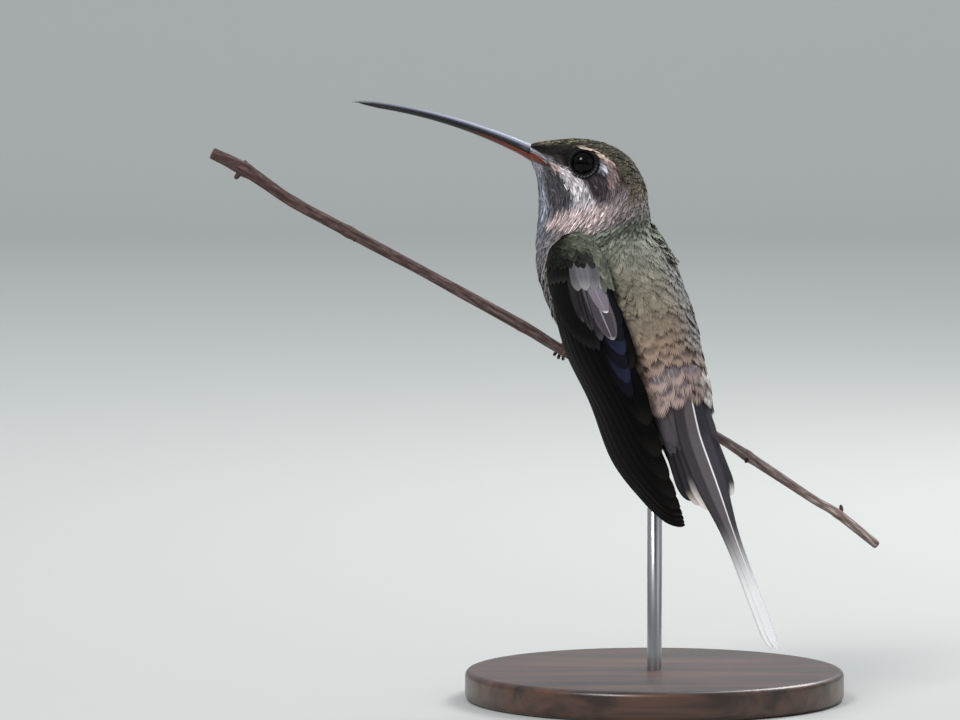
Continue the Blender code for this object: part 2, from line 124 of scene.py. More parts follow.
def make_studio():
    """The floor, which curves up all round in a quarter circle, the lamps, and the camera."""
    floor_radius, bend_radius, floor_height = 1900.0, 600.0, -0.02
    columns = 96
    profile = [(0.01, floor_height)]
    for angle in np.linspace(0.0, 0.5 * math.pi, 16):
        rise = bend_radius - bend_radius * math.cos(angle)
        profile.append((floor_radius + bend_radius * math.sin(angle), rise + floor_height))
    quads = grid_quads(len(profile), columns, True)
    card, _ = new_material("pale_card", Base_Color=opaque("#B6B8B4"), Roughness=0.9)  # matt card
    make_mesh("studio_sweep", lathe(profile, columns), quads, card)

    aim = Vector((-0.035, 0.0, 0.0682))
    for name, place, target, size, power in (
        ("key_lamp", (-0.42, -0.62, 0.75), aim, 0.3, 7.0),
        ("fill_lamp", (0.75, -0.45, 0.35), aim, 0.6, 0.5),
        ("rim_lamp", (0.4, 0.45, 0.62), aim, 0.35, 5.0),
        ("wall_lamp", (0.0, 0.7, 1.6), Vector((0.0, 2.5, 0.2)), 1.0, 18.0),
    ):
        light = bpy.data.lights.new(name, "AREA")
        light.size = size
        light.energy = power
        lamp = bpy.data.objects.new(name, light)
        lamp.location = place
        lamp.rotation_euler = (target - lamp.location).to_track_quat("-Z", "Y").to_euler()
        bpy.context.scene.collection.objects.link(lamp)

    world = bpy.data.worlds.new("studio_air")
    world.use_nodes = True
    world.node_tree.nodes["Background"].inputs["Color"].default_value = (0.82, 0.88, 1.0, 1.0)
    world.node_tree.nodes["Background"].inputs["Strength"].default_value = 0.5
    bpy.context.scene.world = world
    bpy.context.scene.view_settings.view_transform = "Standard"

    camera = bpy.data.objects.new("camera", bpy.data.cameras.new("camera"))
    distance, elevation = 1.2, math.radians(4.0)
    camera.data.lens = 225.0
    camera.data.sensor_width = 36.0
    camera.data.clip_start = 0.05
    camera.data.clip_end = 20.0
    back_off = Vector((0.0, -math.cos(elevation), math.sin(elevation)))
    camera.location = aim + distance * back_off
    camera.rotation_euler = (-back_off).to_track_quat("-Z", "Y").to_euler()
    bpy.context.scene.collection.objects.link(camera)
    bpy.context.scene.camera = camera


make_studio()

# ------------------------------------------------------------------ eyes
# Each eyeball is a wet dark globe. A hermit's iris is so dark a brown that the whole eye reads as
# black, and only its gloss shows.


def add_node(tree, kind, inputs=None, **settings):
    """Adds a shader node. Each input is a value, or the output socket that feeds it."""
    made = tree.nodes.new(kind)
    for name, value in settings.items():
        setattr(made, name, value)
    for name, value in (inputs or {}).items():
        if isinstance(value, bpy.types.NodeSocket):
            tree.links.new(value, made.inputs[name])
        else:
            made.inputs[name].default_value = value
    return made


def tint_of(tree):
    """The colour that each point of a mesh carries."""
    return add_node(tree, "ShaderNodeVertexColor", layer_name="tint").outputs["Color"]


def finish_material(tree, colour, relief=None, strength=1.0, depth=0.0):
    """Feeds the shader its colour, and a bump of this depth in metres that follows relief."""
    shader = tree.nodes["Principled BSDF"]
    tree.links.new(colour, shader.inputs["Base Color"])
    if relief is not None:
        settings = {"Height": relief, "Strength": strength, "Distance": depth}
        bump = add_node(tree, "ShaderNodeBump", settings)
        tree.links.new(bump.outputs["Normal"], shader.inputs["Normal"])


def mix(first, second, share):
    """The colour a share of the way from one to another, each an array or written #rrggbb."""
    first, second = (linear(tone) if isinstance(tone, str) else tone for tone in (first, second))
    return first + (second - first) * np.asarray(share)[..., None]


def belongs(made, slot, *nodes):
    """The piece rides on the model's one body, and stands for CAD nodes if any are named."""
    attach(made, "root")
    if nodes:
        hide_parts(*nodes)
    return made


def box_middle(node):
    """The middle of a CAD node, in millimetres."""
    low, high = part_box(node)
    return np.array((low + high) * 500.0)


def box_size(node):
    """The size of a CAD node, in millimetres."""
    low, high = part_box(node)
    return np.array((high - low) * 1000.0)


EYES = {1.0: box_middle("eye_left"), -1.0: box_middle("eye_right")}
EYE_RADIUS = 0.5 * box_size("eye_left")[2]
EYE_AXIS = np.array((-0.12, -1.0, 0.1)) / np.linalg.norm((-0.12, -1.0, 0.1))  # of the left eye


def eye_axis(side):
    """Which way an eye looks: out of its side of the head, and a little ahead and up."""
    return EYE_AXIS * np.array((1.0, side, 1.0))


def make_eyes():
    """Globes whose poles lie on the eye's axis, so that iris and pupil are rings about it."""
    material, tree = new_material(  # dark iris under a clear wet surface
        "wet_cornea", Roughness=0.02, Specular_IOR_Level=0.14
    )
    finish_material(tree, tint_of(tree))
    pupil_edge, pupil_blur = 24.0, 4.0  # degrees off the axis
    rows, columns = 33, 48
    polar = np.linspace(0.0, math.pi, rows)[:, None]
    turn = (np.arange(columns) * 2.0 * math.pi / columns)[None, :]
    in_iris = np.clip((np.degrees(polar) - pupil_edge) / pupil_blur, 0.0, 1.0)
    quads = grid_quads(rows, columns, True)
    for side, name in ((1.0, "left"), (-1.0, "right")):
        axis = eye_axis(side)
        level = np.cross(axis, (0.0, 0.0, 1.0))
        level /= np.linalg.norm(level)
        upward = np.cross(level, axis)
        ring = np.sin(polar)[..., None] * (
            np.cos(turn)[..., None] * level + np.sin(turn)[..., None] * upward
        )
        points = EYES[side] + EYE_RADIUS * (ring + np.cos(polar)[..., None] * axis)
        tint = np.broadcast_to(mix("#010101", "#060403", in_iris), points.shape)
        globe = make_mesh(f"eyeball_{name}", points, quads, material, tint=tint)
        belongs(globe, "eye", f"eye_{name}")


make_eyes()

# ------------------------------------------------------------------ skin
# One skin covers the head, the neck and the trunk, inside the outline by the coat's depth. It
# opens round each eye into a raised lid whose rim is beaded.

# Rings across the body, from the bill to the rump: the ring's middle (forward, up), how steeply
# the body rises there, its half depths and half width, and whether it turns with the head (1).
BODY_SECTIONS = np.array(
    (
        # forward, up, pitch, back, belly, side, turned
        (13.3, 10.8, 8.0, 1.6, 1.5, 2.1, 1.0),
        (11.7, 10.4, 23.0, 2.6, 2.8, 3.4, 1.0),
        (9.6, 9.7, 34.0, 4.2, 4.5, 4.7, 1.0),
        (7.3, 8.5, 43.0, 6.6, 6.5, 5.6, 1.0),
        (4.8, 6.6, 51.0, 9.0, 8.8, 6.3, 1.0),
        (2.8, 3.9, 58.0, 10.9, 10.5, 7.1, 1.0),
        (1.4, 0.0, 65.0, 12.0, 11.8, 8.2, 0.85),
        (1.0, -4.8, 72.0, 12.5, 12.8, 9.8, 0.5),
        (0.8, -10.5, 68.0, 12.4, 14.9, 11.8, 0.15),
        (-3.0, -17.3, 57.0, 13.0, 15.0, 13.0, 0.0),
        (-9.7, -24.6, 50.0, 12.2, 14.6, 12.1, 0.0),
        (-16.0, -31.4, 50.0, 10.0, 11.6, 9.9, 0.0),
        (-20.4, -36.6, 54.0, 6.8, 8.0, 8.1, 0.0),
        (-23.2, -41.4, 60.0, 3.9, 5.2, 7.0, 0.0),
        (-25.2, -45.6, 63.0, 2.3, 3.2, 6.4, 0.0),
    )
)
BODY_END = len(BODY_SECTIONS) - 1.0
TRUNK_HEADING = math.radians(62.0)
TRUNK_LEAN = math.radians(8.6)
EYES_FROM_NECK = np.array((-2.7, 0.0, 8.5))  # the head looks along -X
NECK = 0.5 * (EYES[1.0] + EYES[-1.0]) - EYES_FROM_NECK


def rows_between(rows, places):
    """The table's rows at fractional row numbers, on a smooth curve through all of them."""
    last = len(rows) - 1
    start = np.clip(np.floor(places).astype(int), 0, last - 1)
    part = np.clip(places - start, 0.0, 1.0)[..., None]
    beyond_end = np.clip(places - last, 0.0, None)[..., None]
    before, here, after, beyond = (rows[np.clip(start + step, 0, last)] for step in (-1, 0, 1, 2))
    curve = 0.5 * (
        2.0 * here
        + (after - before) * part
        + (2.0 * before - 5.0 * here + 4.0 * after - beyond) * part**2
        + (3.0 * here - before - 3.0 * after + beyond) * part**3
    )
    return curve + beyond_end * (rows[last] - rows[last - 1])


def to_world(points, turned):
    """Points of the bird's frame (forward, left, up), turned with the trunk (0) or head (1)."""
    heading = TRUNK_HEADING * (1.0 - turned)
    lean = TRUNK_LEAN * (1.0 - turned)
    level = np.zeros_like(heading)
    forward = np.stack((-np.cos(heading), np.sin(heading), level), axis=-1)
    sideways = np.stack((-np.sin(heading), -np.cos(heading), level), axis=-1)
    plumb = np.stack((level, level, level + 1.0), axis=-1)
    cosine, sine = np.cos(lean)[..., None], np.sin(lean)[..., None]
    left = cosine * sideways - sine * plumb
    up = sine * sideways + cosine * plumb
    return points[..., 0:1] * forward + points[..., 1:2] * left + points[..., 2:3] * up + NECK


def trunk_to_world(points):
    """Points of the bird's frame, turned with the trunk."""
    return to_world(points, np.zeros(points.shape[:-1]))


def body_surface(place, turn, depth):
    """A point of the body: place counts sections from the bill, turn is the angle round from the
    middle of the back to the left, and depth is how far it lies inside the outline."""
    place, turn, depth = np.broadcast_arrays(place, turn, depth)
    rows = rows_between(BODY_SECTIONS, place)
    out = np.cos(turn) * (np.where(np.cos(turn) > 0.0, rows[..., 3], rows[..., 4]) - depth)
    side = np.sin(turn) * (rows[..., 5] - depth)
    rise = np.radians(rows[..., 2])
    points = np.stack(
        (rows[..., 0] - out * np.sin(rise), side, rows[..., 1] + out * np.cos(rise)), axis=-1
    )
    return to_world(points, rows[..., 6])


def coat_depth(place):
    """How deep the feathers lie over the skin: thinnest on the face."""
    sections = (0.0, 2.5, 4.0, 6.0, 8.0, 12.0, 14.0)
    return np.interp(place, sections, (0.2, 0.3, 0.45, 0.8, 1.1, 1.1, 0.6))


def blend(start, end, value):
    """0 before start, 1 after end, and a smooth rise between them."""
    share = np.clip((value - start) / (end - start), 0.0, 1.0)
    return share * share * (3.0 - 2.0 * share)


def bell(distance, width):
    """1 at no distance, falling off on both sides as a bell curve of this width."""
    return np.exp(-((distance / width) ** 2))


LID_OPENING = 2.1  # radius at which the lid meets the eyeball
LID_EDGE = 3.05  # radius of the lid's outer edge
LID_FALL = 1.1  # distance from that edge over which the surface goes back to its own place
LID_HEIGHT, LID_RISE, BEAD_RISE = 1.3, 0.32, 0.13
LID_BEADS = 26
BEAD_RING = 2.78  # radius of the ring of beads on the lid


def lid_place(points, centre, axis):
    """How far points lie from an eye's axis, ahead of its middle, and at what angle round it."""
    offset = points - centre
    height = offset @ axis
    flat = offset - height[..., None] * axis
    level = np.cross(axis, (0.0, 0.0, 1.0))
    return np.linalg.norm(flat, axis=-1), height, np.arctan2(flat[..., 2], flat @ level)


def lid_beads(radius, round_eye, width):
    """1 at the middle of each bead: a squared cosine round the eye, and a bell curve across."""
    return bell(radius - BEAD_RING, width) * np.cos(0.5 * round_eye * LID_BEADS) ** 2


def with_lids(points):
    """Moves the points near each eye onto the lid, or behind the eyeball.

    Inside the opening they lie 0.5 mm under the globe. Round it they rise in one half wave of a
    sine, and a ring of small beads stands on its outer slope. Outside they go back to their
    own place.
    """
    for side, centre in EYES.items():
        axis = eye_axis(side)
        radius, height, round_eye = lid_place(points, centre, axis)
        globe = np.sqrt(np.clip(EYE_RADIUS**2 - radius**2, 0.0, None))
        across = np.clip((radius - LID_OPENING) / (LID_EDGE - LID_OPENING), 0.0, 1.0)
        beads = lid_beads(radius, round_eye, 0.13)
        rim = LID_HEIGHT + LID_RISE * np.sin(math.pi * across**0.8) + BEAD_RISE * beads
        wanted = np.where(radius < LID_OPENING, globe - 0.5, rim)
        share = (1.0 - blend(LID_EDGE, LID_EDGE + LID_FALL, radius)) * (height > 0.0)
        points = points + ((wanted - height) * share)[..., None] * axis
    return points


def patch(place, turn, middle, half_size):
    """1 over an oval patch of the body, falling to 0 at its edge. Sizes are sections, degrees."""
    far = ((place - middle[0]) / half_size[0]) ** 2 + ((turn - middle[1]) / half_size[1]) ** 2
    return np.clip(1.7 * (1.0 - far), 0.0, 1.0)


def stripe(place, turn, line, half_width):
    """1 along a line of (section, degrees) points, falling to 0 half_width sections from it."""
    nearest = np.full(np.shape(place), 1e9)
    here = np.stack((place, turn / 22.0), axis=-1)
    for start, end in zip(line[:-1], line[1:]):
        a = np.array((start[0], start[1] / 22.0))
        b = np.array((end[0], end[1] / 22.0))
        part = np.clip((here - a) @ (b - a) / ((b - a) @ (b - a)), 0.0, 1.0)
        gap = np.linalg.norm(here - a - part[..., None] * (b - a), axis=-1)
        nearest = np.minimum(nearest, gap)
    return 1.0 - blend(0.55 * half_width, half_width, nearest)


def ramp(place, stops):
    """Colours at body sections, blended between the stops (section, colour)."""
    sections = [stop[0] for stop in stops]
    colours = np.array([linear(stop[1]) for stop in stops])
    return np.stack([np.interp(place, sections, colours[:, k]) for k in range(3)], axis=-1)


# At sections 7 to 7.8 the back's tones are paler than the feathers' own, as painted light against
# the shade in the hollow behind the head.
BACK_COLOURS = (
    (0.0, "#1A1614"), (1.5, "#201B17"), (3.5, "#302A22"), (5.0, "#313027"), (6.3, "#4D443B"),
    (7.0, "#9E9696"), (7.8, "#949A8A"), (9.0, "#7A7A6D"), (10.4, "#857D6C"), (11.2, "#7F6C5F"),
    (12.0, "#7C665C"), (13.0, "#75696C"), (14.0, "#4F494D"),
)
CHEEK_COLOURS = (
    (0.0, "#241E1C"), (2.5, "#2A2422"), (3.6, "#38322F"), (5.0, "#403A3C"), (6.0, "#6C6264"),
    (6.8, "#857A7B"), (8.0, "#7A7772"),
)
FRONT_COLOURS = (
    (0.0, "#A6A7AE"), (1.6, "#8C8B93"), (3.0, "#6E6D74"), (5.5, "#85848C"), (7.0, "#88858B"),
    (8.5, "#716D71"), (10.5, "#736B63"), (12.5, "#94867A"), (14.0, "#B0A292"),
)


def plumage(place, turn):
    """The colour of the coat at a section and an angle in radians, the same on both sides."""
    turn = np.abs((np.degrees(turn) + 180.0) % 360.0 - 180.0)
    edge = np.interp(place, (0.0, 3.0, 5.0, 7.0, 9.0, 14.0), (35.0, 42.0, 45.0, 62.0, 68.0, 75.0))
    colour = ramp(place, BACK_COLOURS)
    colour = mix(colour, ramp(place, CHEEK_COLOURS), blend(edge - 8.0, edge + 10.0, turn))
    colour = mix(colour, ramp(place, FRONT_COLOURS), blend(edge + 42.0, edge + 62.0, turn))
    cheek = ((3.6, 97.0), (4.5, 96.0), (5.3, 95.0), (6.1, 86.0))
    collar = ((5.8, 125.0), (6.2, 100.0), (6.55, 75.0), (6.95, 52.0))
    for hex_colour, amount in (
        # the dark streaked throat with its pale edge, whose blue-grey tint is painted light, and
        # the dark ear
        ("#3B393B", 0.9 * patch(place, turn, (3.9, 120.0), (2.1, 25.0))),
        ("#9DA1B2", 0.5 * stripe(place, turn, ((1.8, 158.0), (3.5, 153.0), (6.0, 155.0)), 0.45)),
        ("#332D31", 0.9 * patch(place, turn, (5.3, 74.0), (0.9, 16.0))),
        ("#83777A", 0.8 * patch(place, turn, (6.35, 50.0), (0.6, 16.0))),
        # the pale stripe from the gape, and the pink band round the neck that it runs into
        ("#BDA6A1", stripe(place, turn, ((2.6, 102.0), (3.0, 99.0), (3.7, 97.0)), 0.3)),
        ("#BDB7BA", stripe(place, turn, cheek, 0.52)),
        ("#D0BDBB", 0.95 * stripe(place, turn, collar, 0.6)),
        ("#8A7E7E", 0.7 * stripe(place, turn, ((6.95, 50.0), (7.1, 20.0)), 0.5)),
        # the brow stripe, its dull end behind the eye, the pale spot there, and the dark lores
        ("#D8BFAD", stripe(place, turn, ((3.3, 44.0), (4.0, 45.0), (4.7, 47.5)), 0.22)),
        ("#957E7A", 0.85 * stripe(place, turn, ((4.7, 48.0), (5.1, 52.0), (5.4, 60.0)), 0.3)),
        ("#C4C1CC", patch(place, turn, (4.66, 61.0), (0.36, 9.0))),
        ("#161212", 0.95 * patch(place, turn, (2.95, 71.0), (0.75, 13.0))),
        ("#120E0D", 0.9 * patch(place, turn, (0.9, 62.0), (1.1, 16.0))),
    ):
        colour = mix(colour, hex_colour, amount)
    return colour


def wrapped_map(heights, columns):
    """A map of a closed grid for each quad's corner: the share of a turn, and its row's height."""
    start = np.arange(columns)
    around = np.stack((start, start + 1, start + 1, start), axis=-1) / columns
    up = np.stack((heights[:-1], heights[:-1], heights[1:], heights[1:]), axis=-1)
    return np.stack(np.broadcast_arrays(around[None], up[:, None]), axis=-1)


def make_skin():
    """A fine grid of rings, finest over the head."""
    columns = 240
    over_head = np.linspace(0.0, 6.0, 190, endpoint=False)
    places = np.concatenate((over_head, np.linspace(6.0, BODY_END, 90)))
    turns = np.arange(columns) * 2.0 * math.pi / columns - math.pi
    place, turn = np.meshgrid(places, turns, indexing="ij")
    points = with_lids(body_surface(place, turn, coat_depth(place)))
    tint = 0.7 * plumage(place, turn)
    for side, centre in EYES.items():
        radius, height, round_eye = lid_place(points, centre, eye_axis(side))
        below = 0.12 + 0.88 * blend(0.1, -0.6, np.sin(round_eye))
        bare = mix("#0E0D0F", "#858285", lid_beads(radius, round_eye, 0.1) * below)
        tint = mix(tint, bare, (1.0 - blend(3.3, 3.7, radius)) * (height > 0.0))
    material, tree = new_material(  # thin skin and down under the coat
        "bare_skin", Roughness=0.7, Specular_IOR_Level=0.12
    )
    where = add_node(tree, "ShaderNodeTexCoord").outputs["Object"]
    grain = add_node(tree, "ShaderNodeTexNoise", {"Vector": where, "Scale": 4000.0})
    finish_material(tree, tint_of(tree), grain.outputs["Fac"], 0.3, 0.00005)
    unwrap = wrapped_map(places / BODY_END, columns)
    quads = grid_quads(len(places), columns, True)
    skin = make_mesh("skin", points, quads, material, {"OFBake": unwrap}, tint)
    belongs(skin, "back_feathers", "head", "neck", "trunk")


make_skin()

# ------------------------------------------------------------------ coat
# Contour feathers in rows from the bill to the tail. Each is a thin vane that starts on the skin
# and lies back over the next ones, with a frayed end. Rows are finest on the face.


def calculate(tree, operation, *values):
    """A maths node's result. Each value is a number, or the output socket that feeds it."""
    inputs = dict(enumerate(values))
    return add_node(tree, "ShaderNodeMath", inputs, operation=operation).outputs[0]


def streaked(tree, colour, pattern, contrast, lowest=0.0, highest=1.0):
    """A colour made darker and brighter by up to contrast, by a pattern between these values."""
    limits = {"From Min": lowest, "From Max": highest}
    limits.update({"To Min": 1.0 - contrast, "To Max": 1.0 + contrast})
    gain = add_node(tree, "ShaderNodeMapRange", {"Value": pattern, **limits}).outputs[0]
    scaled = add_node(tree, "ShaderNodeVectorMath", {0: colour, "Scale": gain}, operation="SCALE")
    return scaled.outputs[0]


def vane_material(name, roughness, gloss, barb_contrast, barb_pitch):
    """Feather vanes: the tint of each point, streaked by barbs that run out from the shaft.

    The map called vane holds millimetres across and along the feather. The barbs are a sine wave
    of the distance along less 1.2 times the distance across, so they slant towards the tip.
    """
    material, tree = new_material(name, Roughness=roughness, Specular_IOR_Level=gloss)
    place = add_node(tree, "ShaderNodeUVMap", uv_map="vane").outputs["UV"]
    axes = add_node(tree, "ShaderNodeSeparateXYZ", {0: place})
    out = calculate(tree, "ABSOLUTE", axes.outputs["X"])
    slant = calculate(tree, "MULTIPLY_ADD", out, -1.2, axes.outputs["Y"])
    wave = calculate(tree, "SINE", calculate(tree, "MULTIPLY", slant, 2.0 * math.pi / barb_pitch))
    blotch = add_node(tree, "ShaderNodeTexNoise", {"Vector": place, "Scale": 3.0, "Detail": 3.0})
    mottle = calculate(tree, "MULTIPLY_ADD", wave, 0.25, blotch.outputs["Fac"])
    colour = streaked(tree, tint_of(tree), mottle, barb_contrast, 0.2, 0.8)
    finish_material(tree, colour, wave, 0.35, 0.00003)
    return material


def local_scale(place, turn):
    """Millimetres of surface to one section, and to one radian round, at a place on the body."""
    step = 0.02
    along = body_surface(place + step, turn, 0.0) - body_surface(place - step, turn, 0.0)
    round_body = body_surface(place, turn + step, 0.0) - body_surface(place, turn - step, 0.0)
    return (
        np.linalg.norm(along, axis=-1) / (2.0 * step),
        np.linalg.norm(round_body, axis=-1) / (2.0 * step),
    )


def feather_roots(start, end, gaps, rng, jitter=0.12):
    """Where feathers root, in staggered rows from one section to another.

    gaps holds some sections, and for each the gap between rows and the gap round a row, in mm.
    """
    sections, gaps_along, gaps_round = gaps
    ring = np.linspace(-math.pi, math.pi, 33)[:-1]
    places, turns = [], []
    here = start
    while here < end:
        along, round_body = local_scale(np.full(32, here), ring)
        gap_along = np.interp(here, sections, gaps_along)
        gap_round = np.interp(here, sections, gaps_round)
        count = int(round(round_body.mean() * 2.0 * math.pi / gap_round))
        turn = (np.arange(count) + rng.random()) * 2.0 * math.pi / count - math.pi
        shift = rng.normal(0.0, jitter, count) * gap_along / along.mean()
        places.append(np.full(count, here) + shift)
        turns.append(turn + rng.normal(0.0, 0.1, count) * 2.0 * math.pi / count)
        here += gap_along / along.mean()
    return np.concatenate(places), np.concatenate(turns)


HALF_PATCH = 0.0015  # half the side of each feather's patch in the bake map


def lay_feathers(
    name, place, turn, length, half_width, tints, rng, material,
    shape=(6, 9), fray=0.1, notch=0.0, drift=0.12, stand=0.8, lean=0.0,
):
    """One mesh of feathers rooted at these places, each a sheet laid along the body.

    Across a sheet x runs from -1 to 1 and along it y from 0 to 1. Its half width swells as the
    first quarter of a sine, its end is rounded, and every second column stops short by notch,
    which leaves a comb of barbs. Its height over the skin grows with y to stand coat depths.
    Feathers point astray by chance with a spread of drift, and outward by lean, in radians.
    """
    count = len(place)
    rows, columns = shape
    x = np.linspace(-1.0, 1.0, columns)[None, None, :]
    y = np.linspace(0.0, 1.0, rows)[None, :, None]
    gap = np.arange(columns) % 2 * notch * rng.uniform(0.6, 1.4, (count, 1, columns))
    end = 1.0 - 0.32 * x**2 - gap - fray * rng.random((count, 1, columns))
    along = y * end * length[:, None, None]
    swell = 0.35 + 0.65 * np.sin(0.5 * math.pi * np.clip(y * 1.5, 0.0, 1.0)) - 0.12 * y**3
    across = x * half_width[:, None, None] * swell
    skew = (rng.normal(0.0, drift, count) + lean * np.sign(turn))[:, None, None]
    per_place, per_turn = local_scale(place, turn)
    down = along * np.cos(skew) - across * np.sin(skew)
    sideways = along * np.sin(skew) + across * np.cos(skew)
    at_place = place[:, None, None] + down / per_place[:, None, None]
    at_turn = turn[:, None, None] + sideways / per_turn[:, None, None]
    standing = (0.1 + (stand - 0.1) * y**0.8) * (1.0 - 0.18 * x**2)
    standing = standing * (1.0 + 0.15 * rng.normal(0.0, 1.0, (count, 1, 1)))
    depth = coat_depth(at_place) * (1.0 - np.clip(standing, 0.0, 3.0))
    points = with_lids(body_surface(at_place, at_turn, depth))
    first = (np.arange(count) * rows * columns)[:, None, None]
    quads = (grid_quads(rows, columns)[None] + first).reshape(-1, 4)
    root = np.stack((turn / (2.0 * math.pi) + 0.5, place / BODY_END), axis=-1)[:, None, None]
    in_patch = np.stack(np.broadcast_arrays(x * HALF_PATCH, (2.0 * y - 1.0) * HALF_PATCH), axis=-1)
    maps = {
        "OFBake": np.broadcast_to(root + in_patch, (*points.shape[:-1], 2)),
        "vane": np.stack((across + np.zeros_like(along), along), axis=-1),
    }
    return make_mesh(name, points, quads, material, maps, tints(place, turn, x, y, rng))


# The bill's horn runs back over the sides of the face to the gape, clear of feathers: its upper
# edge, the line where its halves meet, and its lower edge, as (section, degrees).
HORN_TOP = np.array(((0.0, 58.0), (0.6, 73.0), (1.5, 91.0), (2.1, 99.5), (2.6, 105.0)))
HORN_SPLIT = np.array(((0.0, 95.0), (1.0, 98.0), (2.0, 102.5), (2.6, 106.0)))
HORN_FOOT = np.array(((0.0, 156.0), (0.8, 137.0), (1.6, 122.0), (2.2, 113.5), (2.6, 107.0)))


def on_horn(place, turn):
    """Whether places on the body lie on the bare horn, with a margin at its edges."""
    degrees = np.abs(np.degrees(turn))
    above = degrees > np.interp(place, HORN_TOP[:, 0], HORN_TOP[:, 1]) + 1.0
    below = degrees < np.interp(place, HORN_FOOT[:, 0], HORN_FOOT[:, 1]) - 2.0
    return above & below & (place < 2.55)


def clear_face(place, turn, length):
    """Which feathers keep off the lids and the horn, tested at roots, middles and ends."""
    keep = np.ones(len(place), bool)
    per_place, _ = local_scale(place, turn)
    for share in (0.0, 0.5, 1.0):
        at_place = place + share * length / per_place
        points = body_surface(at_place, turn, coat_depth(place))
        for side, centre in EYES.items():
            radius, height, _ = lid_place(points, centre, eye_axis(side))
            keep &= (radius > LID_EDGE + 0.02) | (height < 0.0)
        if share < 1.0:
            keep &= ~on_horn(at_place, turn)
    return keep


def varied(colour, spread, count, rng):
    """A colour, or one for each feather, made brighter or darker by chance on each of count."""
    return colour * np.exp(rng.normal(0.0, 1.0, count) * spread)[:, None]


def crown_share(turn):
    """1 on the crown and 0 on the sides of the head."""
    return 1.0 - blend(36.0, 48.0, np.abs(np.degrees(turn)))


def head_tints(place, turn, x, y, rng):
    """Crown: dark scales, some with a pale rim that is partly painted highlight. Face and neck:
    streaks, each of its own tone.
    """
    on_crown = crown_share(turn)
    near_spot = patch(place, np.abs(np.degrees(turn)), (4.6, 56.0), (0.8, 14.0))
    spread = 0.2 + 0.16 * (1.0 - on_crown) - 0.16 * near_spot
    base = varied(plumage(place + 0.25, turn), spread, len(place), rng)
    # The crown's pale rims, brightest towards the bill, are partly the feathers' own fringes and
    # partly painted highlight of light falling from above.
    pale = linear("#BDB48E") * (on_crown * np.interp(place, (2.0, 4.5), (1.35, 0.8)))[:, None]
    pale = pale + base * 1.6 * (1.0 - on_crown)[:, None]
    specks = (rng.random(len(place)) < 0.35) * (1.0 - 0.75 * blend(2.2, 4.0, place))
    rim = blend(0.72, 1.0, np.maximum(np.abs(x) * 0.9, y))
    rim = rim * (0.45 * (1.0 - on_crown) + on_crown * (0.1 + 0.75 * specks))[:, None, None]
    # Darker towards the root: painted shade where the feathers overlap.
    tint = base[:, None, None] * (0.4 + 0.6 * blend(0.1, 0.65, y))[..., None]
    return mix(tint, pale[:, None, None], rim)


def make_head_coat():
    """Broad scales on the crown, narrow feathers on the face, longer ones on the nape."""
    rng = np.random.default_rng(3)
    material = vane_material("head_feathers", 0.75, 0.15, 0.15, 0.12)  # short matt contour feathers
    sections = (0.0, 2.0, 4.0, 6.0, 7.0)
    gaps = (sections, (0.32, 0.4, 0.5, 0.62, 0.7), (0.22, 0.26, 0.3, 0.36, 0.4))
    place, turn = feather_roots(0.15, 7.0, gaps, rng)
    crown = crown_share(turn) * (1.0 - 0.7 * blend(5.6, 6.6, place))
    keep = rng.random(len(place)) > 0.45 * crown
    size = np.interp(place, (0.0, 2.0, 4.0, 7.0), (0.85, 1.15, 1.7, 2.6))
    length = size * (1.3 - 0.45 * crown) * rng.uniform(0.8, 1.2, len(place))
    half_width = size * (0.1 + 0.17 * crown) * rng.uniform(0.85, 1.15, len(place))
    half_width *= 1.0 + 0.25 * crown * blend(3.5, 5.0, place)
    keep &= clear_face(place, turn, length)
    place, turn, length, half_width, crown = (
        values[keep] for values in (place, turn, length, half_width, crown)
    )
    for name, part, shape, fray, drift in (
        ("coat_crown", crown > 0.3, (5, 7), 0.1, 0.12),
        ("coat_face", (crown <= 0.3) & (place < 4.8), (5, 4), 0.25, 0.16),
        ("coat_nape", (crown <= 0.3) & (place >= 4.8), (6, 4), 0.25, 0.14),
    ):
        made = lay_feathers(
            name, place[part], turn[part], length[part], half_width[part], head_tints, rng,
            material,
            shape=shape, fray=fray, drift=drift,
        )
        belongs(made, "crown_feathers")


def white_tints(place, turn, x, y, rng):
    """White, with a dark trailing edge."""
    edge = blend(0.2, 0.7, -x) * np.ones_like(y) * np.ones((len(place), 1, 1))
    return mix("#EDEBEE", "#1A1718", edge)


def make_pale_quills():
    """A few loose white feathers: one beside the pale cheek stripe, the rest on the chin."""
    rng = np.random.default_rng(9)
    material = vane_material("white_feathers", 0.6, 0.3, 0.05, 0.12)  # stiff and glossy
    place = np.array((4.05, 0.75, 1.05, 1.2, 0.9))
    turn = np.radians((108.0, 165.0, 158.0, 170.0, -168.0))
    length = np.array((1.9, 1.8, 1.5, 1.4, 1.4))
    made = lay_feathers(
        "coat_pale_quills", place, turn, length, length * 0.085, white_tints, rng, material,
        shape=(6, 5), fray=0.1, drift=0.06, stand=1.7,
    )
    belongs(made, "crown_feathers")


make_head_coat()
make_pale_quills()

BACK_LACE = (
    (6.0, "#908784"), (8.0, "#979A88"), (10.0, "#A79E85"), (11.2, "#B29882"), (12.0, "#C3A799"),
    (14.0, "#CDB2A6"),
)


